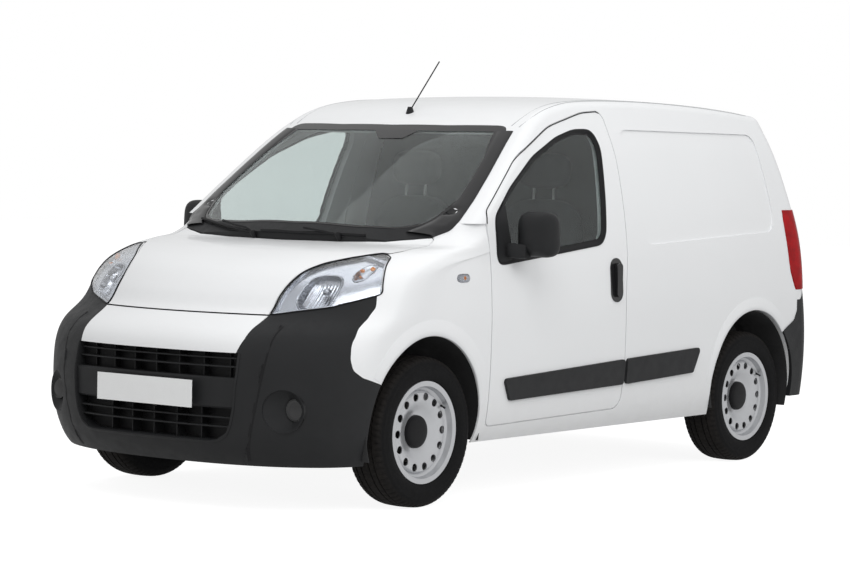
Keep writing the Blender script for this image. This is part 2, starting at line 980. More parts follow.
NODE_FINISHES = {
    "white_paint": ("body_side_left", "body_side_right", "roof", "bonnet", "front_wing_left",
                    "front_wing_right", "nose_strip", "front_door_left", "front_door_right",
                    "rear_door_left", "rear_door_right"),
    "black_plastic": ("front_bumper", "grille", "rear_bumper", "door_moulding_left",
                      "door_moulding_right", "side_mouldings", "mirror_left", "mirror_right",
                      "scuttle", "aerial"),
    "black_gloss": ("door_handle_left", "door_handle_right", "wipers"),
    "glass": ("windscreen", "door_glass_left", "door_glass_right", "rear_glass_left",
              "rear_glass_right"),
    "lamp_lens": ("headlamp_lenses",),
    "lamp_bezel": ("headlamp_housings",),
    "red_lens": ("tail_lamps",),
    "plate": ("number_plate",),
    "wheel_paint": ("wheel_front_left", "wheel_front_right", "wheel_rear_left", "wheel_rear_right"),
    "tyre": ("tyre_front_left", "tyre_front_right", "tyre_rear_left", "tyre_rear_right"),
    "cast_metal": ("knuckle_left", "knuckle_right", "rear_axle", "engine"),
    "bare_metal": ("exhaust", "radiator", "front_struts"),
    "underbody": ("floor_pan", "bulkhead", "front_frame", "front_subframe", "fuel_tank"),
    "cab_lining": ("partition",),
    "seat_cloth": ("seats",),
    "dash_plastic": ("dashboard", "steering_wheel"),
}


class Coachwork:
    """The CAD nodes, each with its finish and soft shading."""

    crease_angle = 28.0

    def __init__(self, nodes: dict[str, Item]) -> None:
        """Take the frame's nodes."""
        self.nodes = nodes

    def dress(self) -> None:
        """Give every node its finish, and shade it smoothly between its real edges."""
        for finish, names in NODE_FINISHES.items():
            for name in names:
                node = self.nodes[name]
                node.data.materials.clear()
                node.data.materials.append(PALETTE.material(finish))
                node.data.polygons.foreach_set("use_smooth", [True] * len(node.data.polygons))
                weld = node.modifiers.new("weld", "WELD")
                weld.merge_threshold = 2e-6
                split = node.modifiers.new("edges", "EDGE_SPLIT")
                split.split_angle = math.radians(self.crease_angle)
                split.use_edge_sharp = False
                weighted = node.modifiers.new("shading", "WEIGHTED_NORMAL")
                weighted.keep_sharp = False
        LOG.info("dressed %d nodes", sum(len(names) for names in NODE_FINISHES.values()))


@dataclass
class Headlamp:
    """The left lamp's inside: a bright mask with two bowls, their bulbs, and the gasket."""

    lens: Skin
    lens_node: Item
    around: Skin
    middle: Pair = (625.0, 915.0)
    spread: Pair = (176.0, 123.0)
    main_centre: Pair = (585.0, 886.0)
    main_radii: Pair = (69.0, 70.0)
    main_depth: float = 62.0
    main_square: float = 3.0
    turn_centre: Pair = (695.0, 970.0)
    turn_radii: Pair = (27.0, 35.0)
    turn_depth: float = 24.0
    turn_bulbs: tuple[tuple[str, Pair, float], ...] = (
        ("indicator_bulb", (709.0, 977.0), 9.0), ("indicator_mirror", (681.0, 969.0), 7.5),
        ("indicator_foot", (692.0, 946.0), 4.5))
    mask_depth: float = 20.0
    step: float = 3.0
    flute_count: int = 11
    flute_start: float = 12.0
    flute_height: float = 1.6
    bowl_power: float = 0.42
    lean: float = 0.45
    shield_place: Pair = (588.0, 884.0)
    shield_size: Point = (74.0, 15.0, 34.0)
    turn_bulb_depth: float = 38.0
    turn_bulb_length: float = 20.0
    bulb_profile: tuple[Pair, ...] = ((0.0, 0.7), (0.1, 1.0), (0.6, 1.0), (0.82, 0.86), (0.95, 0.5))
    bulb_way: Point = (0.25, -1.0, 0.05)
    gasket_way: Point = (0.34, -0.84, 0.42)

    def bowl(self, x: float, z: float, centre: Pair, radii: Pair, depth: float,
             square: float) -> float:
        """How deep a bowl is at a place.

        Args:
            x: place across, in millimetres.
            z: place up.
            centre: the bowl's middle.
            radii: its half width and half height.
            depth: its depth.
            square: how squared its outline is; 2 is an ellipse.

        Returns:
            The depth in millimetres, 0 outside it.
        """
        across = abs((x - centre[0]) / radii[0]) ** square
        upright = abs((z - centre[1]) / radii[1]) ** square
        reach = across + upright
        return 0.0 if reach >= 1 else depth * (1 - reach) ** self.bowl_power

    def behind(self, found: Hit, depth: float) -> Vector:
        """A place behind the lens, leaning inwards from a hit on it.

        Args:
            found: the hit and its normal.
            depth: how far behind it, in millimetres.

        Returns:
            The place in metres.
        """
        hit, normal = found
        back = Vector(BACKWARD).lerp(-normal, self.lean).normalized()
        return hit + back * (depth * MM)

    def mask(self) -> None:
        """The bright inner mask as one surface behind the lens, with its bowls pressed in."""
        bm = bmesh.new()
        across, upright = self.spread
        bmesh.ops.create_grid(bm, x_segments=round(2 * across / self.step),
                              y_segments=round(2 * upright / self.step), size=1.0)
        missed = []
        for vert in bm.verts:
            x = self.middle[0] + vert.co.x * across
            z = self.middle[1] + vert.co.y * upright
            found = self.lens.from_front(x, z)
            if found is None:
                missed.append(vert)
                continue
            main = self.bowl(x, z, self.main_centre, self.main_radii, self.main_depth,
                             self.main_square)
            turn = self.bowl(x, z, self.turn_centre, self.turn_radii, self.turn_depth, 2.0)
            depth = self.mask_depth + main + turn
            if main > self.flute_start:
                flute = math.pi * self.flute_count * (x - self.main_centre[0]) / self.main_radii[0]
                depth += self.flute_height * math.sin(flute)
            vert.co = self.behind(found, depth)
        bmesh.ops.delete(bm, geom=missed, context="VERTS")
        bmesh.ops.smooth_vert(bm, verts=bm.verts, factor=0.4, use_axis_x=True, use_axis_y=True,
                              use_axis_z=True)
        file_pair(bm, "headlamp_mask", "lamp_reflector")

    def bulb(self, name: str, centre: Pair, depth: float, radius: float, length: float,
             finish: str) -> None:
        """A domed bulb or bulb shield in a bowl.

        Args:
            name: the piece's name without its side.
            centre: its place across and up.
            depth: how far behind the lens its foot is.
            radius: its radius.
            length: how far it stands forward.
            finish: its finish.
        """
        found = self.lens.from_front(*centre)
        if found is None:
            LOG.info("%s misses the lens", name)
            return
        foot = found[0] / MM + Vector((0, depth, 0))
        profile = [(length * along, radius * wide) for along, wide in self.bulb_profile]
        bm = bmesh.new()
        spin_profile(bm, profile + [(length, 0.01)], foot, self.bulb_way, UP, 28)
        file_pair(bm, name, finish)

    def ring(self, name: str, centre: Pair, radii: Pair, square: float, lift: float) -> None:
        """A bright rim round a bowl's mouth.

        Args:
            name: the piece's name without its side.
            centre: the bowl's middle.
            radii: its half width and half height.
            square: how squared its outline is; 2 is an ellipse.
            lift: how far the rim stands in front of the mask.
        """
        points = []
        for across, upright in squared_circle(64, 2 / square, 2 / square):
            x = centre[0] + radii[0] * across
            z = centre[1] + radii[1] * upright
            found = self.lens.from_front(x, z)
            if found is None:
                LOG.info("%s misses the lens at %.0f, %.0f", name, x, z)
                continue
            points.append(self.behind(found, self.mask_depth - lift))
        bm = bmesh.new()
        sweep_tube(bm, points, 2.2, closed=True)
        file_pair(bm, name, "lamp_bezel")

    def gasket(self) -> None:
        """The dark line round the lens."""
        outline = patch_outline(self.lens_node, (0.3, -0.9, 0.3), lambda p: p.x > 0)
        way = Vector(self.gasket_way).normalized()
        line = []
        for point in relax(resample(outline, 7.0), 1):
            line.append(self.around.level(point, way, 0.02) + way * (1.2 * MM))
        bm = bmesh.new()
        sweep_tube(bm, relax(line, 2), 3.0, closed=True)
        file_pair(bm, "headlamp_gasket", "seal_rubber")

    def build(self) -> None:
        """Make the lamp's pieces."""
        self.mask()
        self.ring("headlamp_rim", self.main_centre, self.main_radii, self.main_square, 2.0)
        self.ring("indicator_rim", self.turn_centre, self.turn_radii, 2.0, 1.0)
        self.bulb("bulb_shield", self.shield_place, *self.shield_size, "lamp_bezel")
        for name, place, radius in self.turn_bulbs:
            self.bulb(name, place, self.turn_bulb_depth, radius, self.turn_bulb_length,
                      "amber_lens")
        self.gasket()
        LOG.info("headlamps built")


@dataclass
class WheelPart:
    """A round piece at one of the four wheels."""

    axle_y: float
    place: str
    side: Side

    @property
    def centre(self) -> Vector:
        """The wheel's middle, in millimetres."""
        return Vector((self.side.value * HALF_TRACK, self.axle_y, AXLE_Z))

    def named(self, word: str) -> str:
        """A name that ends in the wheel's place and side."""
        return f"{word}_{self.place}_{self.side.word}"


@dataclass
class Tyre(WheelPart):
    """A tyre with sidewall rings, ribs and shoulder blocks."""

    steps: int = 288
    profile: tuple[Pair, ...] = (
        (60.0, 192.5), (74.0, 197.0), (76.0, 211.0), (80.0, 213.5), (84.5, 216.0), (87.0,
                                                                                    221.0), (88.2,
                                                                                             224.0),
        (91.0, 231.0), (92.6, 243.0), (93.0, 252.0), (92.6, 262.0), (91.4, 272.0), (91.8,
                                                                                    274.0), (90.4,
                                                                                             280.0),
        (87.2, 289.0), (85.0, 293.0), (83.6, 296.6), (80.0, 300.6), (75.5, 303.6), (68.0,
                                                                                    306.4), (60.0,
                                                                                             308.2),
        (52.0, 309.2), (50.8, 303.0), (46.6, 303.0), (45.4, 309.6), (34.0, 310.3), (24.0,
                                                                                    310.7), (22.8,
                                                                                             303.4),
        (18.6, 303.4), (17.4, 310.9), (8.0, 311.0), (0.0, 311.0),
    )
    block_zone: Pair = (53.0, 86.0)
    rib_zone: Pair = (24.5, 46.0)
    groove_depth: float = 4.2
    sipe_depth: float = 2.4
    tread_radius: float = 294.5
    tread_half_width: float = 88.0
    rib_half_width: float = 16.0
    groove_floor: float = 303.2
    shoulder: float = 75.0
    inner: tuple[Pair, ...] = ((-70.0, 230.0), (-72.0, 262.0), (-55.0, 296.0), (0.0, 298.0),
                               (55.0, 296.0), (72.0, 262.0), (70.0, 230.0), (60.0, 192.5))

    def cut(self, across: float, column: int) -> float:
        """How deep the tread is cut at a place.

        Args:
            across: the place across the tread, in millimetres from its middle.
            column: the number of the step round the tyre.

        Returns:
            The depth of the groove or sipe, 0 where there is none.
        """
        width = abs(across)
        outer = across > 0
        if self.block_zone[0] < width < self.block_zone[1] and column % 4 == (0 if outer else 2):
            return self.groove_depth
        if self.rib_zone[0] < width < self.rib_zone[1] and column % 4 == (1 if outer else 3):
            return self.sipe_depth
        return self.sipe_depth if width < self.rib_half_width and column % 8 == 0 else 0.0

    def build(self) -> None:
        """Turn the profile and press the tread's grooves into it."""
        centre = self.centre
        outline = list(self.profile) + [(-a, r) for a, r in reversed(self.profile[:-1])]
        bm = bmesh.new()
        spin_profile(bm, outline + list(self.inner), centre, (1, 0, 0), UP, self.steps)
        turn = 2 * math.pi / self.steps
        for vert in bm.verts:
            local = vert.co / MM - centre
            radius = math.hypot(local.y, local.z)
            if radius < self.tread_radius or abs(local.x) > self.tread_half_width:
                continue
            depth = self.cut(local.x, round(math.atan2(local.z, local.y) / turn) % self.steps)
            if depth and (radius > self.groove_floor or abs(local.x) > self.shoulder):
                scale = (radius - depth) / radius
                vert.co = (centre + Vector((local.x, local.y * scale, local.z * scale))) * MM
        name = self.named("tyre")
        piece = file_piece(bm, name + "_tread", "tyre", self.named("wheel"), 32.0)
        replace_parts(piece, name)


@dataclass
class WheelCap(WheelPart):
    """The plain black cap of a steel wheel, and the valve in its rim."""

    profile: tuple[Pair, ...] = ((31.0, 68.6), (42.0, 67.4), (46.0, 65.4), (49.0, 61.8),
                                 (51.0, 55.6), (52.0, 50.2), (53.2, 40.0), (54.0, 28.4),
                                 (54.4, 14.0), (54.6, 0.05))
    valve_radius: float = 178.0
    valve_angle: float = 34.0
    valve_out: float = 50.0
    valve_lean: float = 0.45
    valve_profile: tuple[Pair, ...] = ((-4.0, 5.5), (8.0, 5.0), (14.0, 4.0), (24.0, 3.6),
                                       (26.0, 4.4), (33.0, 4.2), (34.0, 0.05))

    def build(self) -> None:
        """Make the cap and the valve."""
        sign = self.side.value
        body = self.named("wheel")
        bm = bmesh.new()
        spin_profile(bm, self.profile, self.centre, (sign, 0, 0), UP, 72)
        file_piece(bm, self.named("wheel_cap"), "cap_plastic", body)
        c, s = math.cos(math.radians(self.valve_angle)), math.sin(math.radians(self.valve_angle))
        foot = Vector((sign * self.valve_out, c * self.valve_radius, s * self.valve_radius))
        inward = Vector((sign, -c * self.valve_lean, -s * self.valve_lean))
        bm = bmesh.new()
        spin_profile(bm, self.valve_profile, self.centre + foot, inward, UP, 18)
        file_piece(bm, self.named("valve"), "seal_rubber", body)


@dataclass
class Glazing:
    """Rubber and black bands round the glass."""

    nodes: dict[str, Item]
    panel_step: float = 7.0
    seal_rows: tuple[Pair, ...] = ((-4.0, -11.0), (-3.4, 1.4), (2.0, 3.2), (9.0, -1.0),
                                   (15.0, -4.0), (24.0, -8.0))
    pillar_line: tuple[Point, ...] = ((690.0, -936.0, 1103.0), (731.0, -876.0, 1128.0),
                                      (745.0, -838.0, 1161.0), (741.0, -791.0, 1196.0),
                                      (732.0, -710.0, 1257.0), (706.0, -574.0, 1363.0),
                                      (676.0, -450.0, 1455.0), (642.0, -318.0, 1545.0))
    glass_line: tuple[Point, ...] = ((560.0, -952.0, 1104.0), (604.0, -900.0, 1130.0),
                                     (634.0, -850.0, 1158.0), (652.0, -795.0, 1194.0),
                                     (656.0, -715.0, 1250.0), (636.0, -580.0, 1358.0),
                                     (606.0, -454.0, 1452.0), (570.0, -332.0, 1540.0))
    rubber_rows: tuple[Pair, ...] = ((0.0, 0.4), (0.08, 2.6), (0.35, 3.6), (0.7, 3.2), (0.94, 2.4),
                                     (1.0, 0.8))
    rubber_way: Point = (0.45, -0.6, 0.66)
    rubber_reach: float = 0.06
    corner_swell: float = 6.0
    corner_top: float = 1.19
    corner_fade: float = 0.05
    band_widths: Pair = (10.0, 42.0)
    band_growth: Pair = (0.12, 0.75)
    door_seal_foot: float = 1.16
    door_seal_end: float = 0.30
    screen_way: Point = (0.0, -0.62, 0.78)
    sensor_corners: tuple[Point, ...] = ((-86.0, -372.0, 1556.0), (190.0, -368.0, 1557.0),
                                         (134.0, -449.0, 1512.0), (6.0, -455.0, 1510.0))

    def seal(self, loop: Sequence[Vector], skin: Skin, way: Sequence[float], name: str,
             body: str) -> None:
        """A rubber that follows a window's edge.

        Args:
            loop: the window's outline, in metres.
            skin: the panel round the window.
            way: the way that the window faces.
            name: the piece's name.
            body: the body that it rides on.
        """
        outline = relax(resample(relax(resample(loop, 9.0), 4), 9.0), 3)
        outward = Vector(way).normalized()
        middle = sum(outline, Vector()) / len(outline)
        chains: list[list[Vector]] = [[] for _ in self.seal_rows]
        for before, here, after in zip(outline[-1:] + outline[:-1], outline,
                                       outline[1:] + outline[:1]):
            inward = outward.cross(after - before).normalized()
            if inward.dot(middle - here) < 0:
                inward.negate()
            found = skin.cast(here - inward * (self.panel_step * MM) + outward * 0.25, -outward)
            level = found[0] if found else here
            base = here + outward * (level - here).dot(outward)
            for chain, (away, height) in zip(chains, self.seal_rows):
                chain.append(base + inward * (away * MM) + outward * (height * MM))
        bm = bmesh.new()
        lay_rows(bm, chains, True)
        turn_towards(bm, way)
        thicken(bm, 1.5)
        file_piece(bm, name, "seal_rubber", body, 60.0)

    def pillar_rubber(self, skin: Skin) -> None:
        """The black rubber between the windscreen's side and the pillar."""
        outer = resample(to_metres(self.pillar_line), 14.0, closed=False)
        inner = resample(to_metres(self.glass_line), 14.0, closed=False)
        last, count = len(inner) - 1, len(outer)
        inner = [inner[min(last, round(k * last / (count - 1)))] for k in range(count)]
        way = Vector(self.rubber_way).normalized()
        rows = []
        for share, lift in self.rubber_rows:
            row = []
            for a, b in zip(outer, inner):
                level = skin.level(a.lerp(b, share), way, self.rubber_reach)
                low = min(1.0, max(0.0, (self.corner_top - level.z) / self.corner_fade))
                swell = self.corner_swell * low if lift > 1 else 0.0
                row.append(level + way * ((lift + swell) * MM))
            rows.append(relax(row, 1, closed=False))
        bm = bmesh.new()
        lay_rows(bm, rows, False)
        turn_towards(bm, (0.4, -0.6, 0.6))
        thicken(bm, 1.5)
        file_pair(bm, "pillar_rubber", "black_gloss", smooth_angle=60.0)

    def sensor_patch(self, skin: Skin) -> None:
        """The dark patch at the middle of the windscreen's top, over the mirror's foot."""
        way = Vector(self.screen_way).normalized()
        left, right, low_right, low_left = to_metres(self.sensor_corners)
        rows = []
        for j in range(7):
            row = []
            for i in range(13):
                upper, lower = left.lerp(right, i / 12), low_left.lerp(low_right, i / 12)
                row.append(skin.level(upper.lerp(lower, j / 6), way) + way * (0.5 * MM))
            rows.append(row)
        bm = bmesh.new()
        lay_rows(bm, rows, False)
        turn_towards(bm, self.screen_way)
        thicken(bm, 0.8)
        file_piece(bm, "sensor_patch", "black_gloss")

    def door_seal(self, door: Item, side: Side) -> None:
        """The dark seal that shows in the gap over a front door's upper edge.

        Args:
            door: the door's node.
            side: its side.
        """
        outline = resample(patch_outline(door, (side.value, 0, 0.1)), 8.0)
        upper = [p.z > self.door_seal_foot and p.y < self.door_seal_end for p in outline]
        first = next(i for i in range(len(outline)) if upper[i] and not upper[i - 1])
        outline = outline[first:] + outline[:first]
        upper = upper[first:] + upper[:first]
        line = []
        for point, shows in zip(outline, upper):
            if not shows:
                break
            line.append(point + Vector((side.value * 0.3 * MM, 0, 0)))
        bm = bmesh.new()
        sweep_tube(bm, relax(line, 3, closed=False), 2.4)
        file_piece(bm, "door_seal_" + side.word, "seal_rubber", door.name)

    def build(self) -> None:
        """Make the bands of the windscreen, door windows and rear windows."""
        screen = self.nodes["windscreen"]
        screen_skin = Skin([screen])
        loop = patch_outline(screen, (0, -0.6, 0.8))
        top = max(p.z for p in loop)
        foot = min(p.z for p in loop)

        def band_width(point: Vector) -> float:
            """The band's width at a place: narrow at the foot, wide at the top."""
            share = (point.z - foot) / (top - foot)
            growth = min(1.0, max(0.0, (share - self.band_growth[0]) / self.band_growth[1]))
            return self.band_widths[0] + self.band_widths[1] * growth

        frame_strip(loop, screen_skin, band_width, 0.4, 1.0, "windscreen_band", "black_gloss", 3.0,
                    14.0, 3)
        self.sensor_patch(screen_skin)
        beside = ("roof", "body_side_left", "windscreen", "front_wing_left", "scuttle")
        self.pillar_rubber(Skin([self.nodes[n] for n in beside]))
        for side in Side:
            door = "front_door_" + side.word
            loop = patch_outline(self.nodes["door_glass_" + side.word], (side.value, 0, 0))
            self.seal(loop, Skin([self.nodes[door]]), (side.value, 0, 0.12),
                      "window_rubber_" + side.word, door)
            self.door_seal(self.nodes[door], side)
            door = "rear_door_" + side.word
            loop = patch_outline(self.nodes["rear_glass_" + side.word], (0, 1, 0.2))
            self.seal(loop, Skin([self.nodes[door]]), (0, 1, 0.1),
                      "rear_window_rubber_" + side.word, door)
        LOG.info("glazing built")


@dataclass
class Wipers:
    """The two parked wipers: rubber blades along the foot of the screen, each on its arm."""

    skin: Skin
    blades: tuple[tuple[Point, ...], ...] = (
        ((-599.0, -933.0, 1132.0), (-470.0, -993.0, 1119.0), (-348.0, -1043.0, 1105.0),
         (-246.0, -1073.0, 1096.0), (-169.0, -1082.0, 1094.0)),
        ((-123.0, -1079.0, 1097.0), (30.0, -1084.0, 1096.0), (169.0, -1077.0, 1096.0),
         (305.0, -1068.0, 1094.0), (423.0, -1045.0, 1092.0)))
    arms: tuple[tuple[Point, ...], ...] = (
        ((-408.0, -1003.0, 1123.0), (-286.0, -1054.0, 1108.0), (-186.0, -1076.0, 1092.0),
         (-168.0, -1082.0, 1084.0)),
        ((114.0, -1071.0, 1108.0), (196.0, -1076.0, 1100.0), (275.0, -1072.0, 1090.0),
         (300.0, -1070.0, 1084.0)))
    way: Point = (0.0, -0.62, 0.78)
    arm_lift: float = 22.0
    arm_radius: float = 5.0
    pivot: tuple[Pair, ...] = ((-22.0, 12.0), (2.0, 13.0), (8.0, 11.0), (11.0, 6.0), (11.5, 0.05))

    def lifted(self, points: Sequence[Point], lift: float) -> list[Vector]:
        """A line laid on the screen.

        Args:
            points: its corners in millimetres.
            lift: how far it stands off the screen, in millimetres.

        Returns:
            The line's points in metres.
        """
        way = Vector(self.way).normalized()
        line = []
        for point in resample(to_metres(points), 16.0, closed=False):
            line.append(self.skin.level(point, way, 0.05, 0.3) + way * (lift * MM))
        return relax(line, 4, closed=False)

    def build(self) -> None:
        """Make the blades with their rubbers, and the arms with their pivot caps."""
        for name, lift, radius, sides in (("wiper_blades", 13.0, 6.0, 12),
                                          ("wiper_rubbers", 5.0, 3.0, 8)):
            bm = bmesh.new()
            for blade in self.blades:
                sweep_tube(bm, self.lifted(blade, lift), radius, sides=sides)
            file_piece(bm, name, "seal_rubber")
        bm = bmesh.new()
        for arm in self.arms:
            line = self.lifted(arm, self.arm_lift)
            sweep_tube(bm, line, self.arm_radius, sides=12)
            spin_profile(bm, self.pivot, line[-1] / MM, self.way, (1, 0, 0), 24)
        arms = file_piece(bm, "wiper_arms", "seal_rubber")
        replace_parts(arms, "wipers")
        LOG.info("wipers built")


@dataclass
class RoofDitch:
    """The two lines of sealer along the left edge of the roof."""

    skin: Skin
    lines: tuple[tuple[Pair, ...], ...] = (
        ((653.0, -290.0), (658.0, -216.0), (651.0, -126.0), (641.0, -33.0), (625.0, 96.0),
         (619.0, 250.0), (617.0, 466.0), (619.0, 800.0), (630.0, 1200.0), (646.0, 1600.0)),
        ((612.0, -290.0), (616.0, -228.0), (615.0, -157.0), (610.0, -70.0), (601.0, 54.0),
         (597.0, 186.0), (595.0, 466.0), (596.0, 800.0), (604.0, 1200.0), (616.0, 1600.0)))
    radius: float = 2.4
    sunk: float = 1.0
    above: float = 2000.0

    def build(self) -> None:
        """Make both lines and their right twins."""
        bm = bmesh.new()
        for line in self.lines:
            points = []
            above = [(x, y, self.above) for x, y in line]
            for p in resample(to_metres(above), 20.0, closed=False):
                found = self.skin.cast(p, Vector((0, 0, -1)))
                if found is not None:
                    points.append(found[0] - found[1] * (self.sunk * MM))
            sweep_tube(bm, relax(points, 6, closed=False), self.radius, sides=8)
        file_pair(bm, "roof_ditch_sealer", "seam_sealer")
        LOG.info("roof ditches built")


@dataclass
class DoorMirror:
    """The left door mirror: a rounded housing on a jointed arm, and its glass."""

    middle: Point = (957.0, -548.0, 1117.0)
    half: Point = (98.0, 66.0, 96.0)
    face_share: float = 0.42
    roundness: float = 4.2
    dome: float = 2.3
    rim: float = 7.0
    glass_inset: float = 5.0
    top_taper: float = 0.10
    arm_points: tuple[Point, ...] = ((852.0, -615.0, 1048.0), (872.0, -614.0, 1048.0),
                                     (895.0, -606.0, 1046.0), (930.0, -590.0, 1046.0))
    arm_half_height: float = 31.0
    arm_half_depth: float = 20.0
    arm_square: float = 0.6
    glass_share: float = 0.955
    sail_x: float = 840.0
    sail_lift: float = 6.0
    sail_wall: float = 5.0
    sail: tuple[Pair, ...] = ((-680.0, 992.0), (-578.0, 1002.0), (-592.0, 1262.0), (-664.0, 1187.0))

    def shape(self, at: Vector) -> Vector:
        """Place of a point of a cube from -1 to 1 on the housing.

        Args:
            at: the point on the cube.

        Returns:
            The place in millimetres.
        """
        flat = (abs(at.x) ** self.roundness + abs(at.z) ** self.roundness) ** (1 / self.roundness)
        reach = (flat ** self.dome + abs(at.y) ** self.dome) ** (1 / self.dome)
        at = at / max(reach, 1e-6)
        at.y = min(at.y, self.face_share)
        narrowing = 1 - self.top_taper * (at.z + 1) / 2 if at.x > 0 else 1.0
        return Vector(self.middle) + Vector((at.x * self.half[0] * narrowing, at.y * self.half[1],
                                             at.z * self.half[2]))

    def pane(self, rim: Sequence[Vector]) -> None:
        """The mirror glass inside the housing's rim.

        Args:
            rim: the points round the housing's sunk face, in any order, in metres.
        """
        chain = [p + Vector((0, self.glass_inset * MM, 0)) for p in rim]
        centre = sum(chain, Vector()) / len(chain)
        chain = [centre + (p - centre) * self.glass_share for p in chain]
        chain.sort(key=lambda p: math.atan2(p.z - centre.z, p.x - centre.x))
        bm = bmesh.new()
        bmesh.ops.holes_fill(bm, edges=add_loop(bm, chain))
        turn_towards(bm, BACKWARD)
        thicken(bm, 3.0)
        file_pair(bm, "mirror_glass", "mirror_glass", "front_door_left", "front_door_right")

    def add_arm(self, bm: BMesh) -> None:
        """Add the squared arm between the door and the housing."""
        arm = bmesh.new()
        ring = squared_circle(20, self.arm_square, self.arm_square)
        rows = [to_metres((x, y + a * self.arm_half_depth, z + b * self.arm_half_height)
                          for a, b in ring) for x, y, z in self.arm_points]
        lay_rows(arm, rows, True)
        close_ends(arm)
        mesh = bpy.data.meshes.new("arm")
        arm.to_mesh(mesh)
        arm.free()
        bm.from_mesh(mesh)
        bpy.data.meshes.remove(mesh)

    def add_sail(self, bm: BMesh, skin: Skin) -> None:
        """Add the three-cornered plate at the window's front corner.

        Args:
            bm: the housing's mesh.
            skin: the door and its glass.
        """
        lifted = []
        for p in relax(resample(to_metres((0.0, y, z) for y, z in self.sail), 12.0), 3):
            hit = skin.from_side(p.y / MM, p.z / MM)
            seat = hit[0] if hit else Vector((self.sail_x * MM, p.y, p.z))
            lifted.append(seat + Vector((self.sail_lift * MM, 0, 0)))
        plate = bmesh.ops.holes_fill(bm, edges=add_loop(bm, lifted))["faces"]
        bmesh.ops.solidify(bm, geom=plate, thickness=-self.sail_wall * MM)

    def build(self, skin: Skin) -> None:
        """Make the left mirror's pieces and their right twins.

        Args:
            skin: the door and its glass.
        """
        bm = bmesh.new()
        bmesh.ops.create_cube(bm, size=2.0)
        bmesh.ops.subdivide_edges(bm, edges=bm.edges[:], cuts=11, use_grid_fill=True)
        for vert in bm.verts:
            vert.co = self.shape(vert.co) * MM
        face_y = (self.middle[1] + self.half[1] * self.face_share) * MM
        back = [f for f in bm.faces if all(abs(v.co.y - face_y) < 1e-6 for v in f.verts)]
        bmesh.ops.inset_region(bm, faces=back, thickness=self.rim * MM, depth=0.0,
                               use_even_offset=True)
        sunk = list(dict.fromkeys(v for f in back for v in f.verts))
        bmesh.ops.translate(bm, vec=(0, -self.glass_inset * 2 * MM, 0), verts=sunk)
        self.pane([v.co.copy() for v in sunk if any(f not in back for f in v.link_faces)])
        self.add_sail(bm, skin)
        self.add_arm(bm)
        head, twin = file_pair(bm, "mirror_housing", "black_plastic", "front_door_left",
                               "front_door_right", 50.0)
        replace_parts(head, "mirror_left")
        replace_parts(twin, "mirror_right")
        LOG.info("door mirrors built")


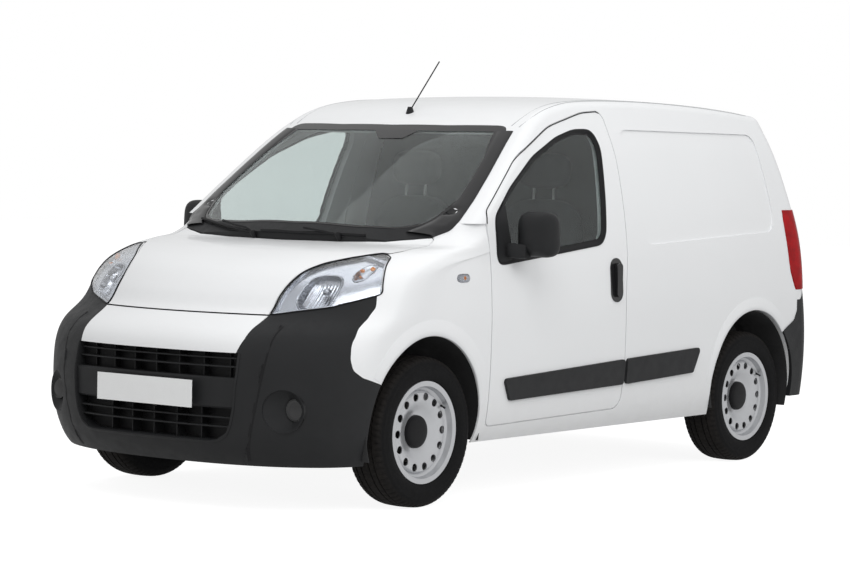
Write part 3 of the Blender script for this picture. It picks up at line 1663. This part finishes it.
@dataclass
class Grille:
    """The grille: two thin bars above and below the plate panel, upright ribs and a dark back."""

    face: Skin
    edges: Pair = (284.0, 656.0)
    crown: float = 6.0
    bend: float = 2.2
    bars: tuple[float, ...] = (590.0, 624.0, 351.0, 388.0)
    bar_height: float = 7.0
    bar_inset: float = 16.0
    bar_depth: float = 30.0
    panel: Pair = (425.0, 548.0)
    panel_inset: float = 9.0
    ribs: tuple[float, ...] = (-360.0, -236.0, -113.0, 9.0, 132.0, 255.0, 378.0)
    rib_half_width: float = 3.0
    rib_inset: float = 34.0
    rib_ends: Pair = (294.0, 644.0)
    bar_slope: float = 2.0
    panel_depth: float = 26.0
    panel_slope: float = 7.0
    back_y: float = -1816.0
    back_wall: float = 6.0
    middle_z: float = 470.0
    corner_z: float = 330.0
    lip_rows: tuple[Pair, ...] = ((-6.0, -0.5), (-3.5, -3.2), (1.0, -3.6), (4.0, 0.5), (5.5, 74.0))
    outline: tuple[Pair, ...] = ((441.0, 646.0), (444.0, 560.0), (436.0, 430.0), (421.0, 362.0),
                                 (398.0, 318.0), (362.0, 297.0), (320.0, 291.0))

    def half_at(self, z: float) -> float:
        """Half width of the bumper's opening at a height."""
        points = sorted(self.outline, key=lambda p: p[1])
        return float(np.interp(z, [p[1] for p in points], [p[0] for p in points]))

    def edge_y(self, x: float, z: float) -> float:
        """Where the nose's skin lies at a place beside the opening."""
        found = self.face.from_front(x, z)
        return found[0].y / MM if found else self.back_y

    def front_y(self, x: float, z: float) -> float:
        """Where the nose's surface would lie at a place in the opening.

        Args:
            x: place across, in millimetres.
            z: place up.

        Returns:
            Its y in millimetres.
        """
        foot, top = self.edges
        below, above = self.edge_y(0.0, foot), self.edge_y(0.0, top)
        share = (z - foot) / (top - foot)
        middle = below + (above - below) * share - self.crown * 4 * share * (1 - share)
        half = self.half_at(z)
        side = self.edge_y(half + 5.0, z)
        return middle + (side - middle) * min(1.0, abs(x) / half) ** self.bend

    def slab(self, bm: BMesh, low: float, high: float, inset: float, depth: float,
             round_off: float) -> None:
        """Add a level bar that follows the nose's curve.

        Args:
            bm: the mesh.
            low: its lower edge, in millimetres.
            high: its upper edge.
            inset: how far behind the nose's surface it starts.
            depth: its depth.
            round_off: the slope of its front edges.
        """
        half = min(self.half_at(low), self.half_at(high))
        rows = []
        steps = 24
        for k in range(steps + 1):
            x = half * (2 * k / steps - 1)
            y = self.front_y(x, (low + high) / 2) + inset
            rows.append(to_metres(((x, y + round_off, low), (x, y, low + round_off),
                                   (x, y, high - round_off), (x, y + round_off, high),
                                   (x, y + depth, high), (x, y + depth, low))))
        lay_rows(bm, rows, True)
        close_ends(bm)

    def insert(self) -> None:
        """The bars, the plate panel and the upright ribs, as one piece."""
        bm = bmesh.new()
        half = self.bar_height / 2
        for z in self.bars:
            self.slab(bm, z - half, z + half, self.bar_inset, self.bar_depth, self.bar_slope)
        self.slab(bm, *self.panel, self.panel_inset, self.panel_depth, self.panel_slope)
        for x in self.ribs:
            for low, high in ((self.rib_ends[0], self.panel[0]), (self.panel[1], self.rib_ends[1])):
                if abs(x) + 4 > self.half_at(low):
                    continue
                front = max(self.front_y(x, low), self.front_y(x, high)) + self.rib_inset
                round_block(bm, (x - self.rib_half_width, front, low),
                            (x + self.rib_half_width, self.back_y, high), 1.0, 1)
        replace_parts(file_piece(bm, "grille_bars", "black_plastic"), "grille")

    def back(self, rim: Sequence[Pair]) -> None:
        """The dark wall behind the bars, inside the opening's rim."""
        bm = bmesh.new()
        edges = add_loop(bm, to_metres((x, self.back_y, z) for x, z in rim))
        bmesh.ops.holes_fill(bm, edges=edges)
        turn_towards(bm, FORWARD)
        thicken(bm, self.back_wall)
        file_piece(bm, "grille_back", "seal_rubber")

    def surround(self, rim: Sequence[Pair]) -> None:
        """The rolled lip round the opening.

        Args:
            rim: the opening's outline, across and up, in millimetres.
        """
        line = relax(resample(to_metres((x, 0, z) for x, z in rim), 8.0, closed=False), 3,
                     closed=False)
        centre = Vector((0, 0, self.middle_z))
        walls: list[list[Vector]] = [[] for _ in self.lip_rows]
        for p in line:
            x, z = p.x / MM, p.z / MM
            low = z < self.corner_z
            toward = centre - Vector((x * 0.35, 0, z)) if low else Vector((-x, 0, 0))
            inward = toward.normalized()
            face = self.edge_y(x - inward.x * 5.0, z - inward.z * 5.0)
            for row, (away, deep) in zip(walls, self.lip_rows):
                row.append(Vector((x + inward.x * away, face + deep, z + inward.z * away)) * MM)
        bm = bmesh.new()
        lay_rows(bm, walls, False)
        turn_towards(bm, FORWARD)
        thicken(bm, 1.5)
        file_piece(bm, "grille_surround", "black_plastic", smooth_angle=50.0)

    def build(self) -> None:
        """Make the insert, the back and the lip."""
        self.insert()
        rim = list(self.outline) + [(-x, z) for x, z in reversed(self.outline)]
        self.back(rim)
        self.surround(rim)
        LOG.info("grille built")


@dataclass
class BumperTrim:
    """Details on the front bumper: the fog lamp covers, the panel groove and its soft ridge."""

    bumper: Skin
    fog_place: Point = (656.0, -1756.0, 430.0)
    recess_middle: Point = (624.0, -1795.0, 426.0)
    recess_way: Point = (0.42, -0.905, 0.0)
    recess_radius: float = 85.0
    fog_way: Point = (0.08, -1.0, 0.0)
    fog_profile: tuple[Pair, ...] = ((-16.0, 45.0), (2.5, 45.0), (4.0, 44.0), (4.0, 41.6),
                                     (2.2, 40.6), (1.2, 38.0), (2.4, 28.0), (3.4, 14.0),
                                     (3.6, 0.05))
    groove: tuple[Point, ...] = ((545.0, -1713.0, 755.0), (546.0, -1758.0, 727.0),
                                 (551.0, -1796.0, 685.0), (550.0, -1826.0, 613.0),
                                 (542.0, -1842.0, 533.0), (526.0, -1849.0, 445.0),
                                 (504.0, -1850.0, 348.0), (481.0, -1838.0, 272.0),
                                 (470.0, -1815.0, 212.0))
    groove_half_width: float = 6.5
    ridge_width: float = 16.0
    ridge_lift: float = 2.4
    ring_radii: Pair = (49.0, 45.5)

    def band(self, rows: Sequence[Pair], name: str, finish: str, wall: float) -> None:
        """Make a band along the groove line.

        Args:
            rows: (distance outwards, lift) of each row in millimetres.
            name: the left piece's name.
            finish: its finish.
            wall: its thickness.
        """
        line = relax(resample(to_metres(self.groove), 12.0, closed=False), 6, closed=False)
        chains = []
        for away, lift in rows:
            chains.append([self.bumper.snap(p + Vector((away * MM, 0, 0)), lift) for p in line])
        bm = bmesh.new()
        lay_rows(bm, chains, False)
        turn_towards(bm, (0.3, -1, 0))
        thicken(bm, wall)
        file_pair(bm, name, finish)

    def recess(self) -> None:
        """The dished ring round a fog lamp's cover."""
        rows = []
        for middle, way, radius, forward in (
                (self.recess_middle, self.recess_way, self.recess_radius, -2.0),
                (self.recess_middle, self.recess_way, self.recess_radius - 5.0, -5.0),
                (self.fog_place, self.fog_way, self.ring_radii[0], -5.0),
                (self.fog_place, self.fog_way, self.ring_radii[1], -7.0)):
            out = Vector(way).normalized()
            across = out.cross(Vector(UP)).normalized()
            foot = Vector(middle) + out * forward
            rows.append(to_metres(foot + across * (radius * c) + Vector(UP) * (radius * s)
                                  for c, s in squared_circle(64)))
        bm = bmesh.new()
        lay_rows(bm, rows, True)
        turn_towards(bm, (0.4, -0.9, 0))
        thicken(bm, 1.2)
        file_pair(bm, "fog_recess", "black_plastic", smooth_angle=70.0)

    def build(self) -> None:
        """Make the pieces on both sides."""
        bm = bmesh.new()
        spin_profile(bm, self.fog_profile, self.fog_place, self.fog_way, UP, 56)
        file_pair(bm, "fog_cover", "black_gloss")
        self.recess()
        half, width, lift = self.groove_half_width, self.ridge_width, self.ridge_lift
        self.band(((-half, 0.35), (0.0, 0.3), (half, 0.35)), "bumper_groove", "seal_rubber", 0.8)
        self.band(((-half - width, 0.1), (-half - width * 0.45, lift * 0.8),
                   (-half - 1.5, lift), (-half, 0.2)), "bumper_ridge", "black_plastic", 1.0)
        LOG.info("bumper trim built")


@dataclass
class ArchLiner:
    """The dark plastic liner inside a wheel arch."""

    name: str
    centre: Pair
    radius: float
    inner_x: float
    outer_x: float
    start: float
    end: float
    wall: float = 2.5
    lip: float = 12.0
    steps: int = 48

    def build(self) -> None:
        """Make the liner on the left and its right twin."""
        rows: list[list[Vector]] = []
        for x, radius in ((self.outer_x, self.radius - 1.0),
                          (self.outer_x - self.lip, self.radius), (self.inner_x, self.radius)):
            row = []
            for k in range(self.steps + 1):
                angle = math.radians(self.start + (self.end - self.start) * k / self.steps)
                row.append(Vector((x, self.centre[0] + radius * math.cos(angle),
                                   self.centre[1] + radius * math.sin(angle))) * MM)
            rows.append(row)
        bm = bmesh.new()
        lay_rows(bm, rows, False)
        turn_towards(bm, (0, 0, -1))
        thicken(bm, self.wall)
        file_pair(bm, self.name, "underbody")


@dataclass
class ArchFlare:
    """The raised lip pressed round a wheel arch."""

    name: str
    skin: Skin
    centre: Pair
    radius: float
    start: float
    end: float
    widths: tuple[float, ...]
    lift: float = 5.5
    steps: int = 64
    far_y: float = 3000.0

    def build(self) -> None:
        """Make the lip on the left and its right twin."""
        rows: list[list[Vector]] = [[] for _ in range(6)]
        for k in range(self.steps + 1):
            share = k / self.steps
            angle = math.radians(self.start + (self.end - self.start) * share)
            width = float(np.interp(share, np.linspace(0, 1, len(self.widths)), self.widths))
            fade = min(1.0, 6 * share, 6 * (1 - share))
            lift = self.lift * fade
            steps = ((0.0, -3.0), (0.3, lift - 2.0), (3.0, lift), (width * 0.35, lift),
                     (width * 0.7, lift * 0.45), (width, 0.08))
            for row, (away, rise) in zip(rows, steps):
                reach = self.radius + away
                y = self.centre[0] + reach * math.cos(angle)
                z = self.centre[1] + reach * math.sin(angle)
                found = self.skin.from_side(min(y, self.far_y), z)
                if found is None:
                    inner = self.radius + 3.0
                    found = self.skin.from_side(self.centre[0] + inner * math.cos(angle),
                                                self.centre[1] + inner * math.sin(angle))
                x = found[0].x if found else SIDE_X * MM
                row.append(Vector((x + rise * MM, min(y, self.far_y) * MM, z * MM)))
        bm = bmesh.new()
        lay_rows(bm, rows, False)
        turn_towards(bm, (1, 0, 0))
        thicken(bm, 1.0)
        file_pair(bm, self.name, "white_paint", smooth_angle=60.0)


@dataclass
class TailLamp:
    """The left tail lamp's lens: it wraps from the side to the rear face."""

    skin: Skin
    front_line: tuple[Pair, ...] = ((1730.0, 1203.0), (1717.0, 1155.0), (1710.0, 1083.0),
                                    (1710.0, 1010.0), (1712.0, 951.0), (1718.0, 907.0),
                                    (1735.0, 868.0), (1752.0, 833.0), (1764.0, 818.0))
    rear_half_width: float = 742.0
    rear_y: float = 1860.0
    aim: Pair = (600.0, 1450.0)
    lift: float = 3.0
    columns: int = 22

    def build(self) -> None:
        """Make the lens and its right twin."""
        line = resample(to_metres((0, y, z) for y, z in self.front_line), 12.0, closed=False)
        rows = []
        for p in line:
            row = []
            aim = Vector((*self.aim, p.z * 1000)) * MM
            first = math.atan2(p.y - aim.y, SIDE_X * MM - aim.x)
            last = math.atan2(self.rear_y * MM - aim.y, self.rear_half_width * MM - aim.x)
            for k in range(self.columns + 1):
                angle = first + (last - first) * k / self.columns
                way = Vector((math.cos(angle), math.sin(angle), 0))
                found = self.skin.cast(aim + way * 2.0, -way)
                if found is None:
                    found = (aim + way * 0.3, way)
                edge = min(1.0, 5 * k / self.columns, 5 * (1 - k / self.columns))
                row.append(found[0] + way * ((0.4 + self.lift * edge) * MM))
            rows.append(row)
        bm = bmesh.new()
        lay_rows(bm, rows, False)
        turn_towards(bm, (0.7, 0.7, 0))
        thicken(bm, 2.0)
        file_pair(bm, "tail_lens", "red_lens")
        LOG.info("tail lamps built")


@dataclass
class Repeater:
    """The small side indicator on the wing."""

    skin: Skin
    middle: Pair = (-930.0, 938.0)
    half_length: float = 42.0
    half_height: float = 16.0
    squareness: Pair = (0.55, 0.9)
    bulb_shift: float = 6.0
    bulb_profile: tuple[Pair, ...] = ((-3.0, 8.0), (0.0, 9.0), (2.2, 8.0), (3.2, 4.0), (3.4, 0.05))

    def build(self) -> None:
        """Make the bezel, the lens and the bulb behind it."""
        for name, grow, lift, finish in (("repeater_bezel", 2.5, 1.2, "lamp_bezel"),
                                         ("repeater_lens", 0.0, 4.5, "lamp_lens")):
            rows = []
            for share, rise in ((1.0, 0.0), (0.96, lift * 0.6), (0.8, lift), (0.45, lift + 0.8)):
                ring = []
                for along, upright in squared_circle(40, *self.squareness):
                    y = self.middle[0] + along * (self.half_length + grow) * share
                    z = self.middle[1] + upright * (self.half_height + grow) * share
                    found = self.skin.from_side(y, z)
                    ring.append(found[0] + Vector((rise * MM, 0, 0)))
                rows.append(ring)
            bm = bmesh.new()
            lay_rows(bm, rows, True)
            close_ends(bm)
            file_pair(bm, name, finish)
        place = self.skin.from_side(self.middle[0] + self.bulb_shift, self.middle[1])[0] / MM
        bm = bmesh.new()
        spin_profile(bm, self.bulb_profile, place, (1, 0, 0), UP, 20)
        file_pair(bm, "repeater_bulb", "amber_lens")


@dataclass
class SeatPads:
    """The left seat's padding: cushion, back and headrest, swollen like stuffed cloth."""

    middle_x: float = 370.0
    depth_power: float = 3.0
    face_start: float = 0.2
    seams: Pair = (-0.56, 0.56)
    seam_reach: float = 0.09
    seam_depth: float = 0.16
    rod_spread: float = 55.0
    rod_radius: float = 6.5
    padding: tuple[tuple[str, Pair, Point, float, float, float], ...] = (
        ("seat_cushion", (-70.0, 632.0), (240.0, 215.0, 66.0), 4.0, 5.0, 12.0),
        ("seat_back", (248.0, 950.0), (232.0, 62.0, 305.0), 13.0, 3.4, 10.0),
        ("headrest", (308.0, 1378.0), (136.0, 42.0, 82.0), 8.0, 3.2, 6.0))

    def pad(self, name: str, middle: Point, half: Point, lean: float, squareness: float,
            crown: float) -> None:
        """A stuffed pad.

        Args:
            name: the left piece's name.
            middle: its middle in millimetres.
            half: its half sizes.
            lean: how far it leans back, in degrees.
            squareness: how square its outline is.
            crown: how strongly its faces swell, in millimetres.
        """
        bm = bmesh.new()
        bmesh.ops.create_cube(bm, size=2.0)
        bmesh.ops.subdivide_edges(bm, edges=bm.edges[:], cuts=13, use_grid_fill=True)
        turn = Matrix.Rotation(math.radians(-lean), 3, "X")
        thin = min(range(3), key=lambda i: half[i])
        wide = [i for i in range(3) if i != thin]
        for vert in bm.verts:
            at = vert.co.copy()
            first, second = (abs(at[i]) ** squareness for i in wide)
            flat = (first + second) ** (1 / squareness)
            round_power = self.depth_power
            reach = (flat ** round_power + abs(at[thin]) ** round_power) ** (1 / round_power)
            at = at / max(reach, 1e-6)
            swell = crown * (1 - abs(at[wide[0]]) ** 2.0) * (1 - abs(at[wide[1]]) ** 2.0)
            place = Vector([at[i] * half[i] for i in range(3)])
            if abs(at[thin]) > self.face_start:
                place[thin] += math.copysign(swell, at[thin])
            for seam in self.seams:
                near = abs(at[wide[0]] - seam)
                shown = at[thin] * (1 if thin == 2 else -1) > self.face_start
                if near < self.seam_reach and shown:
                    place[thin] *= 1 - self.seam_depth * (1 - near / self.seam_reach)
            vert.co = (Vector(middle) + turn @ place) * MM
        for pad in file_pair(bm, name, "seat_cloth", smooth_angle=70.0):
            soft = pad.modifiers.new("soft", "SUBSURF")
            soft.levels = soft.render_levels = 1

    def build(self) -> None:
        """Make both seats."""
        x = self.middle_x
        for name, (y, z), half, lean, squareness, crown in self.padding:
            self.pad(name, (x, y, z), half, lean, squareness, crown)
        bm = bmesh.new()
        for rod_x in (x - self.rod_spread, x + self.rod_spread):
            sweep_tube(bm, to_metres([(rod_x, 296.0, 1170.0), (rod_x, 306.0, 1340.0)]),
                       self.rod_radius)
        file_pair(bm, "headrest_rods", "bare_metal")
        bm = bmesh.new()
        round_block(bm, (x - 190.0, -190.0, 332.0), (x + 190.0, 205.0, 570.0), 18.0)
        base, _ = file_pair(bm, "seat_base", "dash_plastic")
        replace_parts(base, "seats")
        LOG.info("seats built")


@dataclass
class RearDetails:
    """What sits at the rear: the handle, the plate and its lamps, hinges and the stop lamp."""

    face: Skin
    plate_middle: Pair = (300.0, 792.0)
    plate_half: Pair = (260.0, 55.0)
    handle_middle: Pair = (-48.0, 905.0)
    hinge_heights: tuple[float, ...] = (700.0, 1430.0)
    hinge_places: Pair = (676.0, 618.0)
    hinge_half: Pair = (26.0, 22.0)
    stop_half: Pair = (120.0, 11.0)
    stop_height: float = 1676.0
    reflector_place: Pair = (700.0, 395.0)
    lock_profile: tuple[Pair, ...] = ((-2.0, 9.0), (9.0, 9.0), (10.0, 7.5), (9.0, 6.5), (9.0, 0.05))
    face_start: float = 1880.0
    sunk: float = 3.0

    def face_y(self, x: float, z: float) -> float:
        """Where the rear face lies at a place, in millimetres."""
        found = self.face.cast(Vector((x, Skin.ray_start, z)) * MM, Vector(FORWARD))
        return found[0].y / MM if found else self.face_start

    def block_on(self, name: str, middle: Pair, half: Pair, depth: float, radius: float,
                 finish: str, body: str) -> None:
        """A rounded block that stands on the rear face.

        Args:
            name: the piece's name.
            middle: its place across and up.
            half: its half width and half height.
            depth: how far it stands out.
            radius: the radius of its edges.
            finish: its finish.
            body: the body that it rides on.
        """
        bm = bmesh.new()
        round_block(bm, (middle[0] - half[0], -self.sunk, middle[1] - half[1]),
                    (middle[0] + half[0], depth, middle[1] + half[1]), radius)
        bmesh.ops.subdivide_edges(bm, edges=[e for e in bm.edges if e.calc_length() > 0.06], cuts=5,
                                  use_grid_fill=True)
        for vert in bm.verts:
            vert.co.y += self.face_y(vert.co.x / MM, vert.co.z / MM) * MM
        file_piece(bm, name, finish, body)

    def plate_and_handle(self, door: str) -> None:
        """The blank plate with its lamps, and the handle with its lock.

        Args:
            door: the door that carries them.
        """
        middle_x, middle_z = self.plate_middle
        half_x, half_z = self.plate_half
        self.block_on("rear_plate_carrier", self.plate_middle, (half_x + 8, half_z + 8), 5.0, 2.0,
                      "black_plastic", door)
        self.block_on("rear_plate", self.plate_middle, self.plate_half, 8.0, 1.5, "plate", door)
        top = middle_z + half_z + 26.0
        self.block_on("plate_lamp_housing", (middle_x, top), (96.0, 12.0), 24.0, 5.0,
                      "black_plastic", door)
        for letter, shift in (("a", -45.0), ("b", 45.0)):
            self.block_on("plate_lamp_" + letter, (middle_x + shift, top - 9.0), (24.0, 5.0), 18.0,
                          2.0, "lamp_lens", door)
        x, z = self.handle_middle
        self.block_on("rear_handle_plate", (x, z), (30.0, 74.0), 7.0, 4.0, "black_plastic", door)
        self.block_on("rear_handle_grip", (x, z + 8.0), (13.0, 52.0), 24.0, 6.0, "black_gloss",
                      door)
        bm = bmesh.new()
        z -= 58.0
        spin_profile(bm, self.lock_profile, (x, self.face_y(x, z), z), BACKWARD, UP, 24)
        file_piece(bm, "rear_lock", "bare_metal", door)

    def hinges(self, side: Side) -> None:
        """The hinges of one rear door, with their pins on the body."""
        for number, (height, half) in enumerate(zip(self.hinge_heights, self.hinge_places), 1):
            word = f"rear_hinge_{side.word}_{number}"
            self.block_on(word, (side.value * half, height), self.hinge_half, 11.0, 4.0,
                          "white_paint", f"rear_door_{side.word}")
            x = side.value * (half + 24.0)
            y = self.face_y(side.value * half, height) + 4.0
            bm = bmesh.new()
            sweep_tube(bm, to_metres([(x, y, height - 26.0), (x, y, height + 26.0)]), 7.0, sides=16)
            file_piece(bm, word + "_pin", "bare_metal")

    def build(self) -> None:
        """Make the pieces."""
        self.plate_and_handle("rear_door_left")
        for side in Side:
            self.hinges(side)
        self.block_on("stop_lamp", (0.0, self.stop_height), self.stop_half, 9.0, 3.0, "red_lens",
                      "body")
        x, z = self.reflector_place
        for side in Side:
            self.block_on("bumper_reflector_" + side.word, (side.value * x, z), (52.0, 16.0), 3.0,
                          2.0, "red_lens", "body")
        LOG.info("rear details built")


@dataclass
class BrakeShield(WheelPart):
    """The dark plate behind a wheel that closes the view through its holes."""

    body: str
    profile: tuple[Pair, ...] = ((-16.0, 60.0), (-16.0, 146.0), (-12.0, 152.0), (-4.0, 153.0),
                                 (-4.0, 155.0), (-18.0, 155.0), (-19.0, 148.0), (-19.0, 60.0),
                                 (-16.0, 60.0))

    def build(self) -> None:
        """Make the plate."""
        bm = bmesh.new()
        spin_profile(bm, self.profile, self.centre, (self.side.value, 0, 0), UP, 48)
        file_piece(bm, self.named("brake_shield"), "underbody", self.body)


# Studio


@dataclass
class Studio:
    """The white studio: floor, lamps and the camera at the photograph's place."""

    camera_place: Point = (7.678, -10.010, 1.464)
    yaw: float = 0.6588
    pitch: float = 0.04842
    roll: float = 0.018994
    lens: float = 116.84
    sensor: float = 36.0
    world_strength: float = 0.6
    floor_size: float = 60.0
    floor_shade: float = 0.32
    floor_glow: float = 0.91
    floor_sheen: float = 0.36
    lamps: tuple[tuple[str, Point, Point, float, float], ...] = (
        ("key_lamp", (5.0, -6.0, 7.5), (0.0, -0.6, 0.7), 6.0, 370.0),
        ("top_lamp", (-1.0, 0.5, 8.0), (0.0, 0.2, 1.0), 7.0, 165.0),
        ("side_lamp", (9.5, -0.5, 3.4), (0.5, 0.3, 0.7), 6.0, 265.0))

    def white_world(self) -> None:
        """A world that shows white and lights softly."""
        world = bpy.data.worlds.new("studio_world")
        bpy.context.scene.world = world
        world.use_nodes = True
        nodes, links = world.node_tree.nodes, world.node_tree.links
        nodes.clear()
        path = nodes.new("ShaderNodeLightPath")
        seen = nodes.new("ShaderNodeMath")
        seen.operation = "MAXIMUM"
        links.new(path.outputs["Is Camera Ray"], seen.inputs[0])
        links.new(path.outputs["Is Transmission Ray"], seen.inputs[1])
        strength = nodes.new("ShaderNodeMapRange")
        strength.inputs["To Min"].default_value = self.world_strength
        strength.inputs["To Max"].default_value = 1.0
        links.new(seen.outputs[0], strength.inputs["Value"])
        shade = nodes.new("ShaderNodeBackground")
        shade.inputs["Color"].default_value = (1.0, 1.0, 1.0, 1.0)
        links.new(strength.outputs["Result"], shade.inputs["Strength"])
        output = nodes.new("ShaderNodeOutputWorld")
        links.new(shade.outputs[0], output.inputs["Surface"])

    def floor(self) -> None:
        """A pale floor that shows near white and keeps the van's shadow."""
        bm = bmesh.new()
        bmesh.ops.create_grid(bm, x_segments=1, y_segments=1, size=self.floor_size / 2)
        mesh = bpy.data.meshes.new("studio_floor")
        bm.to_mesh(mesh)
        bm.free()
        tree = NodeTree("studio_floor")
        path = tree.add("ShaderNodeLightPath")
        direct = tree.maths("MULTIPLY", path.outputs["Is Camera Ray"], self.floor_glow)
        mirrored = tree.maths("MULTIPLY", path.outputs["Is Glossy Ray"], self.floor_sheen)
        grey = (self.floor_shade,) * 3
        diffuse = tree.add("ShaderNodeBsdfDiffuse", Color=(*grey, 1.0))
        glow = tree.add("ShaderNodeEmission", Color=(1.0, 1.0, 1.0, 1.0))
        tree.join(tree.maths("MAXIMUM", direct, mirrored), glow.inputs["Strength"])
        both = tree.add("ShaderNodeAddShader")
        tree.join(diffuse.outputs[0], both.inputs[0])
        tree.join(glow.outputs[0], both.inputs[1])
        mesh.materials.append(tree.finish(both))
        floor = bpy.data.objects.new("studio_floor", mesh)
        bpy.context.scene.collection.objects.link(floor)

    def lamp(self, name: str, place: Point, target: Point, size: float, power: float) -> None:
        """A square soft lamp that shiny surfaces don't show.

        Args:
            name: its name.
            place: where it hangs, in metres.
            target: what it points at.
            size: its side in metres.
            power: its power in watts.
        """
        light = bpy.data.lights.new(name, "AREA")
        light.size = size
        light.energy = power
        holder = bpy.data.objects.new(name, light)
        holder.location = place
        holder.rotation_euler = (Vector(target) - Vector(place)).to_track_quat("-Z", "Y").to_euler()
        holder.visible_camera = False
        holder.visible_glossy = False
        bpy.context.scene.collection.objects.link(holder)

    def camera(self) -> None:
        """The camera, from its place, its turns and its lens."""
        data = bpy.data.cameras.new("photo_camera")
        data.lens = self.lens
        data.sensor_width = self.sensor
        data.clip_end = 200.0
        forward = Vector((-math.sin(self.yaw) * math.cos(self.pitch),
                          math.cos(self.yaw) * math.cos(self.pitch), -math.sin(self.pitch)))
        right = Vector((math.cos(self.yaw), math.sin(self.yaw), 0.0))
        up = right.cross(forward)
        turned_right = right * math.cos(self.roll) + up * math.sin(self.roll)
        turned_up = -right * math.sin(self.roll) + up * math.cos(self.roll)
        turn = Matrix((turned_right, turned_up, -forward)).transposed().to_4x4()
        holder = bpy.data.objects.new("photo_camera", data)
        holder.matrix_world = Matrix.Translation(Vector(self.camera_place)) @ turn
        bpy.context.scene.collection.objects.link(holder)
        bpy.context.scene.camera = holder

    def build(self) -> None:
        """Set up the whole studio."""
        bpy.context.scene.view_settings.view_transform = "Standard"
        self.white_world()
        self.floor()
        for name, place, target, size, power in self.lamps:
            self.lamp(name, place, target, size, power)
        self.camera()
        LOG.info("studio built")


def clear_scene() -> None:
    """Remove what a new Blender file starts with."""
    for thing in list(bpy.data.objects):
        bpy.data.objects.remove(thing)


def save_sizes() -> None:
    """Write the model's box and the dressed van's box to a file.
    """
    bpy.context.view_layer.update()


def main() -> None:
    """Build the van's looks in order."""
    logging.basicConfig(level=logging.INFO, format="%(message)s")
    clear_scene()
    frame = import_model()
    nodes = frame["nodes"]
    Studio().build()
    Coachwork(nodes).dress()

    def skin(*names: str) -> Skin:
        """The surface of some CAD nodes."""
        return Skin([nodes[name] for name in names])

    Headlamp(skin("headlamp_lenses"), nodes["headlamp_lenses"],
             skin("headlamp_lenses", "front_wing_left", "front_bumper", "bonnet",
                  "nose_strip")).build()
    for place, axle_y in (("front", FRONT_AXLE_Y), ("rear", REAR_AXLE_Y)):
        for side in Side:
            Tyre(axle_y, place, side).build()
            WheelCap(axle_y, place, side).build()
    Glazing(nodes).build()
    Wipers(skin("windscreen", "scuttle", "roof")).build()
    RoofDitch(skin("roof", "body_side_left")).build()
    DoorMirror().build(skin("door_glass_left", "front_door_left"))
    Grille(skin("front_bumper", "nose_strip")).build()
    BumperTrim(skin("front_bumper")).build()
    ArchLiner("front_liner", (-1140.0, 345.0), 380.0, 470.0, 822.0, -14.0, 200.0).build()
    ArchLiner("rear_liner", (REAR_AXLE_Y, 370.0), 354.0, 640.0, 838.0, -20.0, 195.0).build()
    wing = skin("front_wing_left", "front_bumper")
    ArchFlare("front_flare", wing, (-1150.0, 350.0), 359.0, 8.0, 150.0,
              (70.0, 78.0, 70.0, 64.0, 62.0, 52.0), far_y=-744.0).build()
    quarter = skin("body_side_left", "tail_lamps")
    ArchFlare("rear_flare", quarter, (REAR_AXLE_Y, 370.0), 358.0, 42.0, 176.0,
              (50.0, 60.0, 58.0, 56.0, 50.0, 40.0)).build()
    TailLamp(quarter).build()
    Repeater(wing).build()
    SeatPads().build()
    RearDetails(skin("rear_door_left", "rear_door_right", "roof", "rear_bumper", "body_side_left",
                     "body_side_right")).build()
    for side in Side:
        BrakeShield(FRONT_AXLE_Y, "front", side, "knuckle_" + side.word).build()
        BrakeShield(REAR_AXLE_Y, "rear", side, "body").build()
    save_sizes()


if __name__ == "__main__":
    main()
